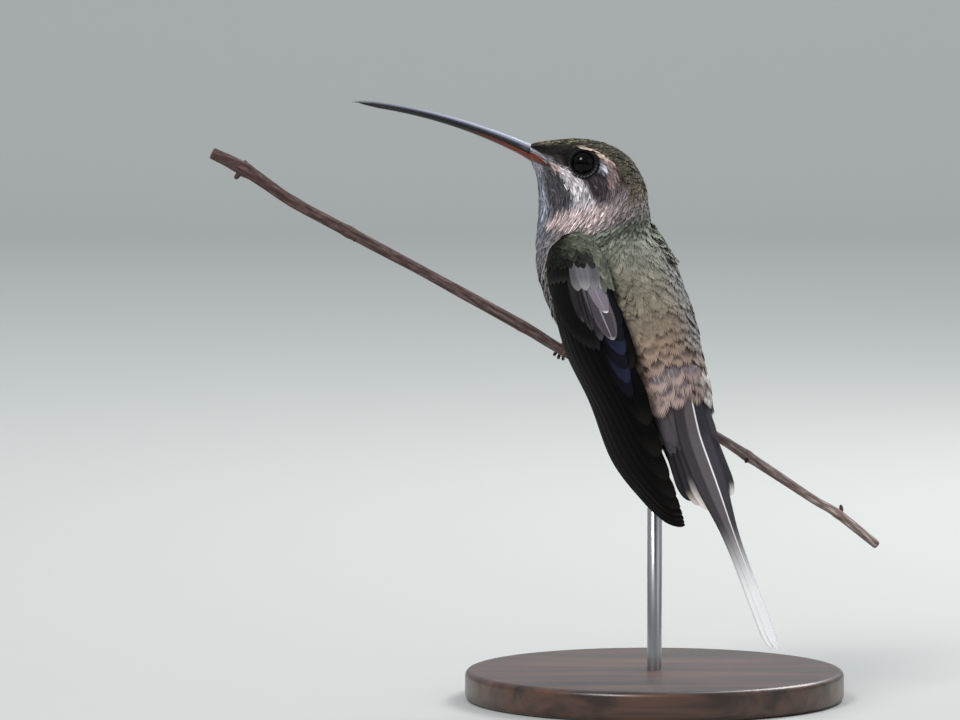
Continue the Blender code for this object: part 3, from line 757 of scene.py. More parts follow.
def back_tints(place, turn, x, y, rng):
    """Mantle and back: pale rims that grow from grey-green lace to buff combs on the rump.

    The right side is greyer, and dark at the middle of each feather. From the lower back on a
    dusky bar crosses each feather before its pale end, and at the right the ends turn white.
    """
    middle = place + 0.45
    to_right = -np.degrees(turn)
    right = blend(12.0, 34.0, to_right) * blend(7.6, 9.0, place)
    right = right * (1.0 - blend(10.7, 11.4, place))
    pale_side = blend(24.0, 44.0, to_right) * blend(10.9, 11.4, place)
    flank = blend(38.0, 50.0, to_right) * blend(10.9, 11.6, place)
    base = varied(plumage(middle, turn), 0.25, len(place), rng)
    base = mix(mix(base, "#39383C", 0.85 * right), "#CDBBAD", 0.8 * pale_side)
    lace = mix(mix(ramp(middle, BACK_LACE), "#9B999C", 0.8 * right), "#F3ECE4", 0.9 * flank)
    rump = blend(10.6, 11.3, middle)
    bar = 0.33 * blend(0.3, 0.48, y) * (1.0 - blend(0.58, 0.7, y)) * rump[:, None, None]
    # Every second column of the comb is darker towards the tip, as painted shade in the gaps
    # between barbs. Each feather is also darker towards its root, as painted shade where it is
    # overlapped; the dusky bar is its own.
    barbs = np.arange(x.shape[-1]) % 2 * (0.25 + 0.2 * rump)[:, None, None] * blend(0.3, 0.8, y)
    shade = (0.5 + 0.5 * blend(0.1, 0.5, y) - bar) * (1.0 - barbs)
    rim = np.maximum(blend(0.55, 1.0, np.abs(x)) * blend(0.3, 0.7, y), blend(0.7, 0.92, y))
    rim = rim + (blend(0.56, 0.74, y) - rim) * rump[:, None, None]
    strength = (0.4 + 0.45 * rump + 0.4 * right)[:, None, None]
    # The pale rims get the same painted shade between the barbs.
    lace = lace[:, None, None] * (1.0 - barbs)[..., None]
    return mix(base[:, None, None] * shade[..., None], lace, rim * strength)


def tail_covert_tints(place, turn, x, y, rng):
    """The last long coverts: mauve grey with a deep comb of pale pink barbs, white at the right."""
    base = varied(linear("#70676B"), 0.12, len(place), rng)[:, None, None]
    # Every second barb is darker towards the tip, as painted shade in the gaps of the comb.
    barbs = np.arange(x.shape[-1]) % 2 * 0.4 * blend(0.45, 0.7, y)
    # Darker towards the root: painted shade where the coverts overlap.
    tint = base * ((0.6 + 0.4 * blend(0.1, 0.4, y)) * (1.0 - barbs))[..., None]
    tint = mix(tint, "#BDB2B0", 0.5 * (1.0 - blend(0.02, 0.08, np.abs(x))))
    pale = mix("#C4ABA2", "#F3ECE4", blend(28.0, 40.0, -np.degrees(turn)))
    # The pale ends get the same painted shade between the barbs.
    pale = pale[:, None, None] * (1.0 - barbs)[..., None]
    return mix(tint, pale, blend(0.58, 0.7, y + 0.05 * np.abs(x)))


def tail_base_tints(place, turn, x, y, rng):
    """Dark stiff feathers over the root of the tail, paler to the left of its middle."""
    degrees = np.degrees(turn)
    left = blend(-10.0, 20.0, degrees) * (1.0 - blend(45.0, 75.0, degrees))
    base = varied(mix("#343035", "#4C4649", left), 0.12, len(place), rng)
    shade = 1.0 - 0.35 * blend(0.75, 1.0, np.abs(x)) * np.ones_like(y)
    return base[:, None, None] * shade[..., None]


def front_tints(place, turn, x, y, rng):
    """Throat, breast and belly: soft streaks, paler at the tips."""
    base = varied(plumage(place + 0.4, turn), 0.26, len(place), rng)[:, None, None]
    # Darker towards the root: painted shade where the feathers overlap.
    tint = base * (0.5 + 0.5 * blend(0.1, 0.6, y))[..., None]
    return mix(tint, base * 1.3, blend(0.75, 1.0, y) * np.ones_like(x))


def make_trunk_coat(rng, back_vanes, front_vanes):
    """Broad combed feathers on mantle and rump, narrow ones on breast and belly."""
    for name, start, end, on_back, along, across, slim, shape, notch, jitter in (
        ("coat_mantle", 6.6, 9.9, True, (0.85, 1.5), (0.75, 1.6), 0.3, (8, 13), 0.22, 0.12),
        ("coat_rump", 9.9, 12.2, True, (1.6, 2.7), (1.7, 2.6), 0.36, (11, 19), 0.2, 0.08),
        ("coat_breast", 6.6, 10.4, False, (0.85, 1.3), (0.42, 0.8), 0.14, (7, 5), 0.2, 0.12),
        ("coat_belly", 10.4, 13.6, False, (1.3, 1.9), (0.7, 1.0), 0.17, (7, 7), 0.25, 0.12),
    ):
        gaps = ((start, min(end, 11.0)), along, across)
        place, turn = feather_roots(start, end, gaps, rng, jitter)
        seam = 92.0 + 6.0 * np.sin(place * 9.0)  # degrees off the middle of the back
        part = (np.abs(np.degrees(turn)) < seam) == on_back
        place, turn = place[part], turn[part]
        size = np.interp(place, (6.6, 8.0, 11.0, 13.6), (2.8, 3.9, 5.4, 5.8))
        size = size * rng.uniform(0.92, 1.08, len(place))
        width = size * np.interp(place, (6.6, 8.5), (min(slim, 0.15), slim))
        width = width * rng.uniform(0.9, 1.1, len(place))
        tints, vanes = (back_tints, back_vanes) if on_back else (front_tints, front_vanes)
        made = lay_feathers(
            name, place, turn, size, width, tints, rng, vanes, shape=shape, fray=0.08, notch=notch
        )
        belongs(made, "back_feathers" if on_back else "neck_feathers")


def make_shoulders(rng, vanes):
    """Loose feathers that fill the gap beside the rear edge of each wing."""
    count = 150
    place = np.concatenate((rng.uniform(7.3, 10.0, count), rng.uniform(7.2, 8.7, count)))
    sections = (7.4, 8.0, 8.5, 9.2, 9.9, 10.3)
    edge = np.interp(place[:count], sections, (46.0, 36.0, 31.0, 29.0, 36.0, 38.0))
    left, right = edge - rng.uniform(1.0, 12.0, count), -rng.uniform(38.0, 60.0, count)
    turn = np.radians(np.concatenate((left, right)))
    size = np.interp(place, (7.2, 9.0), (2.6, 3.6)) * rng.uniform(0.9, 1.1, 2 * count)
    made = lay_feathers(
        "coat_shoulders", place, turn, size, size * 0.26, back_tints, rng, vanes,
        shape=(8, 13), fray=0.08, notch=0.2, drift=0.15,
        stand=np.where(turn < 0.0, 1.45, 1.25)[:, None, None], lean=0.18,
    )
    belongs(made, "back_feathers")


def make_tail_coverts(rng, vanes):
    """Over the base of the tail: rows of large combed feathers on top of plain stiff ones."""
    for name, rows, length, slim, tints, notch, stand in (
        ("coat_tail_base", ((12.3, 9), (12.6, 8), (12.9, 7)), 10.5, 0.2, tail_base_tints, 0.0, 0.7),
        (
            "coat_tail_coverts", ((11.6, 8), (11.9, 7), (12.15, 6)), 6.2, 0.42, tail_covert_tints,
            0.26, 1.25,
        ),
    ):
        place, turn = [], []
        for here, count in rows:
            turn.append(np.linspace(-85.0, 85.0, count) + rng.normal(0.0, 3.0, count))
            place.append(np.full(count, here) + rng.normal(0.0, 0.02, count))
        place, turn = np.concatenate(place), np.radians(np.concatenate(turn))
        size = np.full(len(place), length)
        made = lay_feathers(
            name, place, turn, size, size * slim, tints, rng, vanes,
            shape=(15, 25), fray=0.2 * notch, notch=notch, drift=0.05, stand=stand,
        )
        belongs(made, "back_feathers")


trunk_chance = np.random.default_rng(5)
back_feathers = vane_material("back_feathers", 0.6, 0.3, 0.18, 0.4)  # broad, with a faint gloss
breast_feathers = vane_material("breast_feathers", 0.8, 0.15, 0.12, 0.3)  # loose and downy
make_trunk_coat(trunk_chance, back_feathers, breast_feathers)
make_shoulders(trunk_chance, back_feathers)
make_tail_coverts(trunk_chance, back_feathers)

# ------------------------------------------------------------------ bill
# A long bill that curves down to its tip: a horn upper half, near black below and blue-grey on
# its ridge, that blue-grey partly painted sheen, and a lower half that is rust orange for the
# third nearest the face. Both go back under the feathers, and meet in the gape.

HORN_DARK = linear("#0E0D10")
# The pale blue-grey of the upper half's ridge: partly the horn's own tone, partly painted sheen.
HORN_GREY = linear("#9DA1B4")
HORN_RUST = linear("#62240C")


def horn_material():
    """Polished keratin, with long fine fibres."""
    horn, tree = new_material("horn_sheath", Roughness=0.3, Specular_IOR_Level=0.6)
    where = add_node(tree, "ShaderNodeUVMap", uv_map="vane").outputs["UV"]
    fibre = add_node(tree, "ShaderNodeMapping", {"Vector": where, "Scale": (9.0, 0.5, 1.0)})
    settings = {"Vector": fibre.outputs[0], "Scale": 1.0, "Detail": 4.0}
    grain = add_node(tree, "ShaderNodeTexNoise", settings).outputs["Fac"]
    finish_material(tree, streaked(tree, tint_of(tree), grain, 0.25), grain, 0.25, 0.00004)
    return horn


def make_bill(horn):
    """Two arched sheaths along one curve, whose rise falls evenly from base to tip.

    Each tapers as the mean of a straight line and a cube. Its section is half an arch over a
    nearly flat underside, with a shallow groove along each side.
    """
    base_forward, base_up, length = 13.7, 10.85, 36.4
    base_rise, tip_rise = math.radians(25.5), math.radians(5.5)
    tucked = 0.11  # how far a sheath goes back under the feathers, as a share of the length
    seam = -0.12  # where the halves meet, as a share of the depth off the middle line
    lip = 0.03
    rows, columns = 150, 32
    quads = grid_quads(rows, columns, True)
    unwrap = wrapped_map(np.arange(rows) / (rows - 1.0), columns)
    angle = np.linspace(0.0, 2.0 * math.pi, columns + 1)[:-1]
    arch = np.sin(angle)
    groove = 1.0 - 0.12 * bell(np.abs(arch) - 0.45, 0.12) * (arch > 0.0)
    fine = np.linspace(0.0, 1.0, 400)
    rises = base_rise + (tip_rise - base_rise) * fine
    between = 0.5 * (rises[1:] + rises[:-1])
    forward, upward = (
        start + length * np.concatenate(((0.0,), np.cumsum(wave(between)) / (len(fine) - 1.0)))
        for start, wave in ((base_forward, np.cos), (base_up, np.sin))
    )
    for name, sign, reach in (("upper", 1.0, 1.0), ("lower", -1.0, 35.0 / 36.4)):
        along = np.linspace(-tucked, reach, rows)
        ahead, under = np.clip(along, 0.0, 1.0), np.minimum(along, 0.0) * length
        taper = 0.5 * (1.0 - ahead) + 0.5 * (1.0 - ahead) ** 3
        point = np.sqrt(np.clip((reach - along) / 0.11, 0.0, 1.0))
        flare = blend(0.06, -0.02, along)
        depth = (1.15 + 1.75 * taper) * point * (1.0 + 0.06 * flare)
        width = (1.0 + 2.2 * taper) * point * (1.0 + 0.22 * flare)
        rise = np.interp(along, fine, rises)
        mid_forward = np.interp(along, fine, forward) + under * math.cos(base_rise)
        mid_up = np.interp(along, fine, upward) + under * (math.sin(base_rise) + 0.15)
        half = (0.5 * depth - sign * seam * depth)[:, None]
        height = np.where(
            arch > 0.0,
            lip + (half - lip) * np.abs(arch) ** 0.9,
            lip * 0.5 + 0.1 * half * np.abs(arch),
        )
        out = seam * depth[:, None] + sign * height
        side = 0.5 * width[:, None] * np.cos(angle) * groove * np.where(arch > 0.0, 1.0, 0.93)
        section = (-out * np.sin(rise)[:, None], side, out * np.cos(rise)[:, None])
        middle = np.stack((mid_forward, np.zeros(rows), mid_up), axis=-1)[:, None]
        points = to_world(middle + np.stack(section, axis=-1), np.ones((rows, columns)))
        step = along[:, None]
        if sign > 0.0:
            # Blue-grey along the ridge, fading towards the tip: partly painted sheen on the dark
            # horn.
            ridge = blend(0.35, 0.8, arch)[None] * (1.0 - 0.6 * blend(0.25, 1.0, step))
            tint = mix(HORN_DARK, HORN_GREY, ridge)
        else:
            tint = mix(HORN_RUST, HORN_DARK, blend(0.1, 0.4, step) * np.ones_like(arch)[None])
        strip = np.broadcast_arrays(angle / math.pi * width[:, None], step * length)
        order = int(sign)  # the lower half is a mirrored grid, so its faces run the other way
        maps = {"OFBake": unwrap[:, :, ::order], "vane": np.stack(strip, axis=-1)}
        made = make_mesh(f"bill_sheath_{name}", points, quads[:, ::order], horn, maps, tint)
        belongs(made, f"{name}_bill", f"bill_{name}")


def make_gape(horn):
    """Where the horn runs back over the face: a low cushion between two of its edges."""
    rows, columns = 40, 15
    u = np.linspace(0.0, 1.0, rows)[:, None]
    w = np.linspace(0.0, 1.0, columns)[None, :]
    place = 2.6 * u
    top, split, foot = (
        np.interp(place, line[:, 0], line[:, 1]) for line in (HORN_TOP, HORN_SPLIT, HORN_FOOT)
    )
    swell = np.sqrt(np.clip(4.0 * w * (1.0 - w), 0.0, 1.0)) * np.clip(6.0 * (1.0 - u), 0.0, 1.0)
    depth = 0.3 - 0.28 * swell - 0.1 * (1.0 - u) ** 4
    slit = bell(w - 0.22 - 0.2 * u, 0.07) * blend(0.02, 0.12, u) * (1.0 - blend(0.5, 0.68, u))
    # Blue-grey near the upper edge, partly painted sheen as on the bill's ridge.
    upper = mix(HORN_DARK, HORN_GREY, (1.0 - blend(0.55, 0.76, w)) * (1.0 - 0.75 * u))
    upper = mix(upper, "#C3B2AB", blend(0.76, 0.86, w) * blend(0.0, 0.2, u))
    upper = upper * (1.0 - 0.93 * slit)[..., None]  # a thin dark slit along the horn
    lower = mix(HORN_RUST, "#1E0A08", np.maximum(blend(0.45, 1.0, u), blend(0.45, 1.0, w)))
    lower = lower * (1.0 - 0.5 * blend(0.2, 0.0, w))[..., None]
    flat = np.stack(np.broadcast_arrays(u, w), axis=-1)
    maps = {"OFBake": flat, "vane": flat * 3.0}
    for half, first, last, tint in (("upper", top, split, upper), ("lower", split, foot, lower)):
        turn = np.radians(first + (last - first) * w)
        for side, side_name in ((1.0, "left"), (-1.0, "right")):
            points = body_surface(place, side * turn, depth)
            quads = grid_quads(rows, columns)[:, :: int(side)]
            made = make_mesh(f"bill_gape_{half}_{side_name}", points, quads, horn, maps, tint)
            belongs(made, f"{half}_bill")


bill_horn = horn_material()
make_bill(bill_horn)
make_gape(bill_horn)

# ------------------------------------------------------------------ wings
# Each folded wing is a stack of stiff feathers: ten primaries that reach its tip, six
# secondaries, two tertials, and rows of coverts over their bases. The primaries are near black.

WING_SECTIONS = np.array(
    (
        # front edge, rear edge, half thickness, bow
        (-2.4, 9.6, -4.4, -7.4, 8.4, -3.4, 0.8, 0.06),
        (1.1, 11.0, -7.2, -11.5, 7.6, -5.4, 1.0, 0.12),
        (0.2, 12.8, -11.4, -15.4, 7.4, -10.2, 1.1, 0.16),
        (-2.1, 14.0, -18.5, -19.6, 8.2, -17.5, 1.1, 0.17),
        (-4.8, 14.0, -27.4, -24.6, 8.9, -27.2, 0.9, 0.15),
        (-9.6, 12.8, -36.9, -26.8, 8.4, -38.5, 0.7, 0.11),
        (-12.6, 11.2, -48.6, -28.4, 7.5, -48.5, 0.5, 0.08),
        (-19.6, 9.2, -56.7, -29.8, 6.8, -56.2, 0.4, 0.06),
        (-24.9, 7.8, -60.6, -30.3, 6.5, -59.5, 0.35, 0.04),
        (-28.6, 6.8, -61.9, -30.6, 6.4, -61.0, 0.3, 0.0),
    )
)
RIGHT_WING_FOLD = 0.8
RIGHT_WING_REACH = 0.92
RIGHT_WING_TUCK = 0.82
RIGHT_WING_ROLL = math.radians(31.0)
RIGHT_WING_DROOP = math.radians(4.0)
SHOULDER = np.array((-3.0, 0.0, -8.0))
TRUNK_MIDDLE = np.array((-3.0, 0.0, -17.3))
TRUNK_AXIS = np.array((math.cos(math.radians(58.0)), 0.0, math.sin(math.radians(58.0))))


def swing(points, centre, axis, angle):
    """Points turned about an axis through a centre."""
    offset = points - centre
    turned = offset * math.cos(angle) + np.cross(axis, offset) * math.sin(angle)
    return centre + turned + axis * (offset @ axis)[..., None] * (1.0 - math.cos(angle))


def wing_surface(side, down, back, level):
    """A point of a folded wing: down runs from shoulder to tip and back from its front edge to
    its rear edge, both 0 to 1. level is -1 on its inner face and 1 on its outer face."""
    down, back, level = np.broadcast_arrays(down, back, level)
    last = len(WING_SECTIONS) - 1.0
    rows = rows_between(WING_SECTIONS, down * last)
    ahead = rows_between(WING_SECTIONS, np.clip(down * last + 0.05, 0.0, last))
    behind = rows_between(WING_SECTIONS, np.clip(down * last - 0.05, 0.0, last))
    front, rear = rows[..., 0:3], rows[..., 3:6]
    if side < 0.0:
        rear = front + (rear - front) * RIGHT_WING_FOLD
    across = rear - front
    width = np.linalg.norm(across, axis=-1, keepdims=True)
    along = ahead[..., 0:3] + ahead[..., 3:6] - behind[..., 0:3] - behind[..., 3:6]
    outward = np.cross(along, across)
    outward /= np.linalg.norm(outward, axis=-1, keepdims=True)
    reach = (2.0 * back - 1.0)[..., None]
    room = np.sqrt(np.clip(1.0 - 0.75 * reach**2, 0.05, 1.0))
    out = rows[..., 7:8] * width * (1.0 - reach**2) + rows[..., 6:7] * room * level[..., None]
    points = 0.5 * (front + rear) + 0.5 * across * reach + outward * out
    if side < 0.0:
        folded = np.array((RIGHT_WING_REACH, -RIGHT_WING_TUCK, RIGHT_WING_REACH))
        points = SHOULDER + (points - SHOULDER) * folded
        points = swing(points, TRUNK_MIDDLE, TRUNK_AXIS, RIGHT_WING_ROLL)
        points = swing(points, SHOULDER, np.array((0.0, 1.0, 0.0)), -RIGHT_WING_DROOP)
    return trunk_to_world(points)


# Round a vane's section, from one edge over the top to the other and back underneath. The points
# beside the middle carry the raised shaft.
SECTION_X = np.array(
    (
        -1.0, -0.72, -0.38, -0.09, -0.045, 0.0, 0.045, 0.09, 0.38, 0.72, 1.0, 0.7, 0.3, 0.0, -0.3,
        -0.7,
    )
)
SECTION_TOP = np.array(
    (0.0, 0.6, 0.9, 1.0, 1.9, 2.2, 1.9, 1.0, 0.9, 0.6, 0.0, -0.6, -0.9, -1.0, -0.9, -0.6)
)
VANE_HALF_THICKNESS = 0.03


def vane_shape(y, tip, root):
    """Half width along a vane as a share of its widest: a narrow root and a rounded tip."""
    swell = root + (1.0 - root) * np.sin(0.5 * math.pi * np.clip(y / 0.35, 0.0, 1.0))
    return swell * np.sqrt(np.clip(1.0 - np.clip((y - 1.0 + tip) / tip, 0.0, 1.0) ** 2, 0.004, 1.0))


def join_grids(grids):
    """Points and quads of one mesh made of several closed grids of points."""
    quads, first = [], 0
    for grid in grids:
        rows, columns = grid.shape[:2]
        quads.append(grid_quads(rows, columns, True) + first)
        first += rows * columns
    return np.concatenate([grid.reshape(-1, 3) for grid in grids]), np.concatenate(quads)


def stack_vanes(name, vanes, place_of, material, columns_in_map, slot, node):
    """One mesh of solid vanes. place_of turns a vane's own (x in mm, y, height) into the world.

    Each vane is a dict: half (mm), tip and root shares, length (mm), and tint, a function of
    x and y. In the bake map each has a strip of its own.
    """
    grids, maps, bakes, tints = [], [], [], []
    rows_in_map = math.ceil(len(vanes) / columns_in_map)
    over = np.where(SECTION_TOP >= 0.0, 0.25 + 0.22 * SECTION_X, 0.75 - 0.22 * SECTION_X)
    x = SECTION_X[None, :]
    for number, vane in enumerate(vanes):
        y = np.linspace(0.0, 1.0, vane.get("rows", 40))
        y = (1.0 - (1.0 - y) ** 1.5)[:, None]
        across = x * vane["half"] * vane_shape(y, vane["tip"], vane["root"])
        height = np.broadcast_to(SECTION_TOP * VANE_HALF_THICKNESS, across.shape)
        points = place_of(vane, across, np.broadcast_to(y, across.shape), height)
        column, row = number % columns_in_map, number // columns_in_map
        strip_x = (column + 0.02 + 0.96 * over) / columns_in_map
        strip_y = (row + 0.01 + 0.98 * y) / rows_in_map
        grids.append(points)
        strip = np.broadcast_arrays(across, y * vane["length"])
        maps.append(np.stack(strip, axis=-1).reshape(-1, 2))
        bakes.append(np.stack(np.broadcast_arrays(strip_x[None], strip_y), axis=-1).reshape(-1, 2))
        tints.append(np.broadcast_to(vane["tint"](x, y), points.shape).reshape(-1, 3))
    points, quads = join_grids(grids)
    maps = {"OFBake": np.concatenate(bakes), "vane": np.concatenate(maps)}
    made = make_mesh(name, points, quads, material, maps, np.concatenate(tints))
    return belongs(made, slot, node)


def vane_tint(middle, edge, shaft, tip, edge_from=0.8, tip_from=0.9, edge_side=0.0):
    """Colours of one vane: its middle, its edges (or only one, edge_side), its shaft and tip."""

    def tint(x, y):
        near_edge = blend(edge_from, 0.98, np.abs(x) if edge_side == 0.0 else x * edge_side)
        colour = mix(middle, edge, near_edge * np.ones_like(y))
        colour = mix(colour, shaft, 1.0 - blend(0.05, 0.09, np.abs(x)))
        colour = mix(colour, tip, blend(tip_from, 1.0, y) * np.ones_like(x))
        # Darker towards the root: painted shade where each vane is overlapped by the next.
        return colour * (0.35 + 0.65 * blend(0.1, 0.6, y))[..., None]

    return tint


WING_STEPS = np.linspace(0.0, 1.0, len(WING_SECTIONS))
WING_WIDTHS = np.linalg.norm(WING_SECTIONS[:, 3:6] - WING_SECTIONS[:, 0:3], axis=1)


def on_wing(side):
    """Places a vane on a wing: its middle line bends from one share back to another."""

    def place(vane, across, y, height):
        down = vane["start"] + (vane["end"] - vane["start"]) * y
        back = vane["lead"] + (vane["trail"] - vane["lead"]) * y ** vane.get("bend", 1.0)
        back = back + across / np.interp(down, WING_STEPS, WING_WIDTHS)
        thin = np.interp(down, WING_STEPS, WING_SECTIONS[:, 6])
        level = vane["level"] + vane.get("rise", 0.0) * y + height / thin
        return wing_surface(side, down, np.clip(back, 0.0, 1.0), level)

    return place


def wing_vanes(side, rng):
    """The feathers of one wing, from the lowest layer to the highest.

    start and end are where a feather begins and ends down the wing, lead and trail where its
    middle line lies back across the wing there, and level is its layer.
    """
    green, black, mantle, scaly = (
        linear(tone) for tone in ("#4C5041", "#100F0C", "#54574B", "#8E8B8D")
    )
    for number in range(9, -1, -1):  # primaries, the outermost first
        q = number / 9.0
        outer = number > 5
        edge, tip = ("#352C23", "#251E17") if outer else ("#100E0C", "#191612")
        tip_from, edge_side = (0.95, -1.0) if outer else (0.9, 1.0)
        yield dict(
            start=0.1, end=0.47 + 0.52 * q**0.7, lead=0.07 + 0.66 * (1.0 - q) ** 1.1,
            trail=0.9 - 0.2 * q**6, bend=1.6 + 5.5 * q**2, half=3.0 - 1.1 * q**3, tip=0.15,
            root=0.5, length=55.0, level=-0.6 + 0.75 * (1.0 - q), rows=60,
            tint=vane_tint("#050405", edge, "#0C0908", tip, 0.86, tip_from, edge_side),
        )
    for number in range(6):  # secondaries
        q = number / 5.0
        # The blue edges of the second and fourth secondaries are painted sheen, the wing's
        # blue-violet gloss.
        blue = "#23253A" if number in (1, 3) else "#12121A"
        yield dict(
            start=0.14, end=0.525 - 0.14 * q, lead=0.66 + 0.1 * q, trail=0.82 + 0.1 * q, bend=1.5,
            half=2.0, tip=0.14, root=0.6, length=24.0, level=0.22 + 0.05 * number,
            tint=vane_tint("#08070A", blue, "#070609", blue, 0.1, 0.8, 1.0),
        )
    for number in range(12):  # greater coverts over the primaries
        q = number / 11.0
        yield dict(
            start=0.12, end=0.43 - 0.13 * (1.0 - q) ** 2, lead=0.1 + 0.5 * q, trail=0.09 + 0.58 * q,
            half=1.5, tip=0.25, root=0.6, length=17.0, level=0.4 + 0.015 * number,
            tint=vane_tint("#0B0A0B", "#191618", "#080708", "#1D1A1C", 0.7, 0.9),
        )
    for number in range(3):  # dark inner coverts beside the tertials
        yield dict(
            start=0.17, end=0.41 - 0.02 * number, lead=0.66 - 0.06 * number,
            trail=0.73 - 0.07 * number, half=1.7, tip=0.3, root=0.7, length=13.0, level=0.57,
            tint=vane_tint("#2B272B", "#3B363A", "#1F1C1F", "#423D40", 0.7, 0.9),
        )
    for middle, edge, tip, end, lead, trail, half, level in (  # tertials
        ("#463F46", "#857C7D", "#A09797", 0.41, 0.73, 0.845, 2.2, 0.6),
        ("#776F77", "#8F868C", "#F4F2F0", 0.352, 0.74, 0.86, 1.7, 0.68),
    ):
        yield dict(
            start=0.17, end=end, lead=lead, trail=trail, bend=1.3, half=half, tip=0.3, root=0.7,
            length=13.0, level=level, tint=vane_tint(middle, edge, "#8E858A", tip, 0.84, 0.965),
        )
    for number in range(10):  # median coverts, the rear ones long and pale grey
        q = number / 9.0
        pale = q > 0.6
        end, half = (0.295, 2.1) if pale else (0.27, 1.7)
        if pale:
            brightness = (0.75, 1.15, 0.85, 1.25)[number - 6]
            tones = ("#5C5A5E", "#7A787C", "#68666A", "#868486")
            greys = [linear(tone) * brightness for tone in tones]
            tint = vane_tint(*greys, 0.6, 0.8)
        else:
            tint = vane_tint("#100F0E", "#24221F", "#0C0B0A", "#2C2A26", 0.6, 0.85)
        yield dict(
            start=0.1, end=end, lead=0.05 + 0.84 * q, trail=0.04 + 0.86 * q, half=half, tip=0.4,
            root=0.7, length=8.0, level=0.66 + 0.01 * min(number, 14 - number), rows=24, tint=tint,
        )
    for row in range(15):  # lesser coverts, small scales that thin out into the shoulder
        start = 0.185 - 0.0135 * row
        count = 11 + row % 2
        for number in range(count):
            q = (number + 0.5 + rng.uniform(-0.25, 0.25)) / count
            olive = blend(0.3, 0.85, q) * blend(0.2, 0.08, start)
            tone = black + (green - black) * olive + (mantle - green) * blend(0.7, 0.95, q)
            tone = tone * math.exp(rng.normal(0.0, 0.4))
            rim = tone * 1.5 + 0.006
            yield dict(
                start=max(start - 0.01, 0.0), end=start + rng.uniform(0.032, 0.05), lead=0.98 * q,
                trail=0.98 * q, half=rng.uniform(0.7, 1.0), tip=0.5, root=0.6, length=2.4,
                level=0.72 + 0.014 * row, rise=0.12, rows=7,
                tint=vane_tint(tone, rim, tone * 0.8, rim, 0.4, 0.6),
            )
    for row in range(17):  # soft feathers of the shoulder, which lap over the wing's rear edge
        start = 0.25 - 0.0155 * row
        for number in range(3):
            q = 0.94 + 0.03 * number + rng.uniform(-0.02, 0.02)
            tone = (mantle + 0.03 * start) * math.exp(rng.normal(0.0, 0.25))
            yield dict(
                start=max(start, 0.0), end=start + rng.uniform(0.04, 0.055), lead=q, trail=q - 0.01,
                half=0.55, tip=0.6, root=0.5, length=2.9, level=1.0 + 0.01 * row, rise=0.15, rows=8,
                tint=vane_tint(tone, tone * 1.3, tone * 0.8, tone * 1.3, 0.4, 0.6),
            )
    if side > 0.0:
        return
    for row in range(13):  # the right wing lies against the scaly back, so it is scaled inside too
        for number in range(10):
            q = (number + 0.5 + 0.5 * (row % 2)) / 10.0
            tone = scaly * math.exp(rng.normal(0.0, 0.25))
            yield dict(
                start=0.26 - 0.02 * row, end=0.31 - 0.02 * row, lead=q, trail=q, half=1.0, tip=0.5,
                root=0.6, length=3.0, level=-0.85 - 0.012 * row + 1.5 * blend(0.75, 0.97, q),
                rise=-0.15, rows=7,
                tint=vane_tint(tone * 0.55, tone * 1.7, tone * 0.6, tone * 1.9, 0.5, 0.6),
            )


def make_wings():
    """Both wings from the same rows of feathers, with the right one's faces turned outward."""
    quills = vane_material("flight_feathers", 0.6, 0.05, 0.12, 0.3)  # stiff smooth vanes
    for side, name in ((1.0, "left"), (-1.0, "right")):
        vanes = list(wing_vanes(side, np.random.default_rng(7)))
        piece, node = f"feathers_wing_{name}", f"wing_{name}"
        made = stack_vanes(piece, vanes, on_wing(side), quills, 16, "wing_feathers", node)
        if side < 0.0:
            made.data.flip_normals()


make_wings()

# ------------------------------------------------------------------ tail
# A long middle pair that turns white toward its tips, over a fan of short dark side feathers
# with pale tips. All of them root under the last coverts.


def on_tail(vane, across, y, height):
    """Places a vane on the tail: start and end down it, and how far out its middle line runs.

    A long feather narrows to its slender part as a logistic curve of the distance down.
    """
    down = vane["start"] + (vane["end"] - vane["start"]) * y
    slender = vane.get("slender", 1.0)
    share = slender + (1.0 - slender) / (1.0 + np.exp((down - 15.5) / 3.2))
    out = (vane["near"] + (vane["far"] - vane["near"]) * y + across) * share
    lift = vane.get("lift", 0.0) * (np.hypot(down, 2.0) - down)
    top = vane["level"] + height - 0.05 * across**2 + lift
    pitch = math.radians(62.6)
    forward = -27.35 - down * math.cos(pitch) - top * math.sin(pitch)
    up = -44.6 - down * math.sin(pitch) + top * math.cos(pitch)
    return trunk_to_world(np.stack((forward, out, up), axis=-1))


def streamer_tint(left, right, shaft):
    """Colours of a long tail feather: its two halves, its shaft, and white towards the tip."""

    def tint(x, y):
        colour = mix(left, right, blend(-0.02, 0.05, -x) * np.ones_like(y))
        colour = mix(colour, shaft, 1.0 - blend(0.05, 0.09, np.abs(x)))
        return mix(colour, "#EFEDEC", blend(0.5, 0.8, y))

    return tint


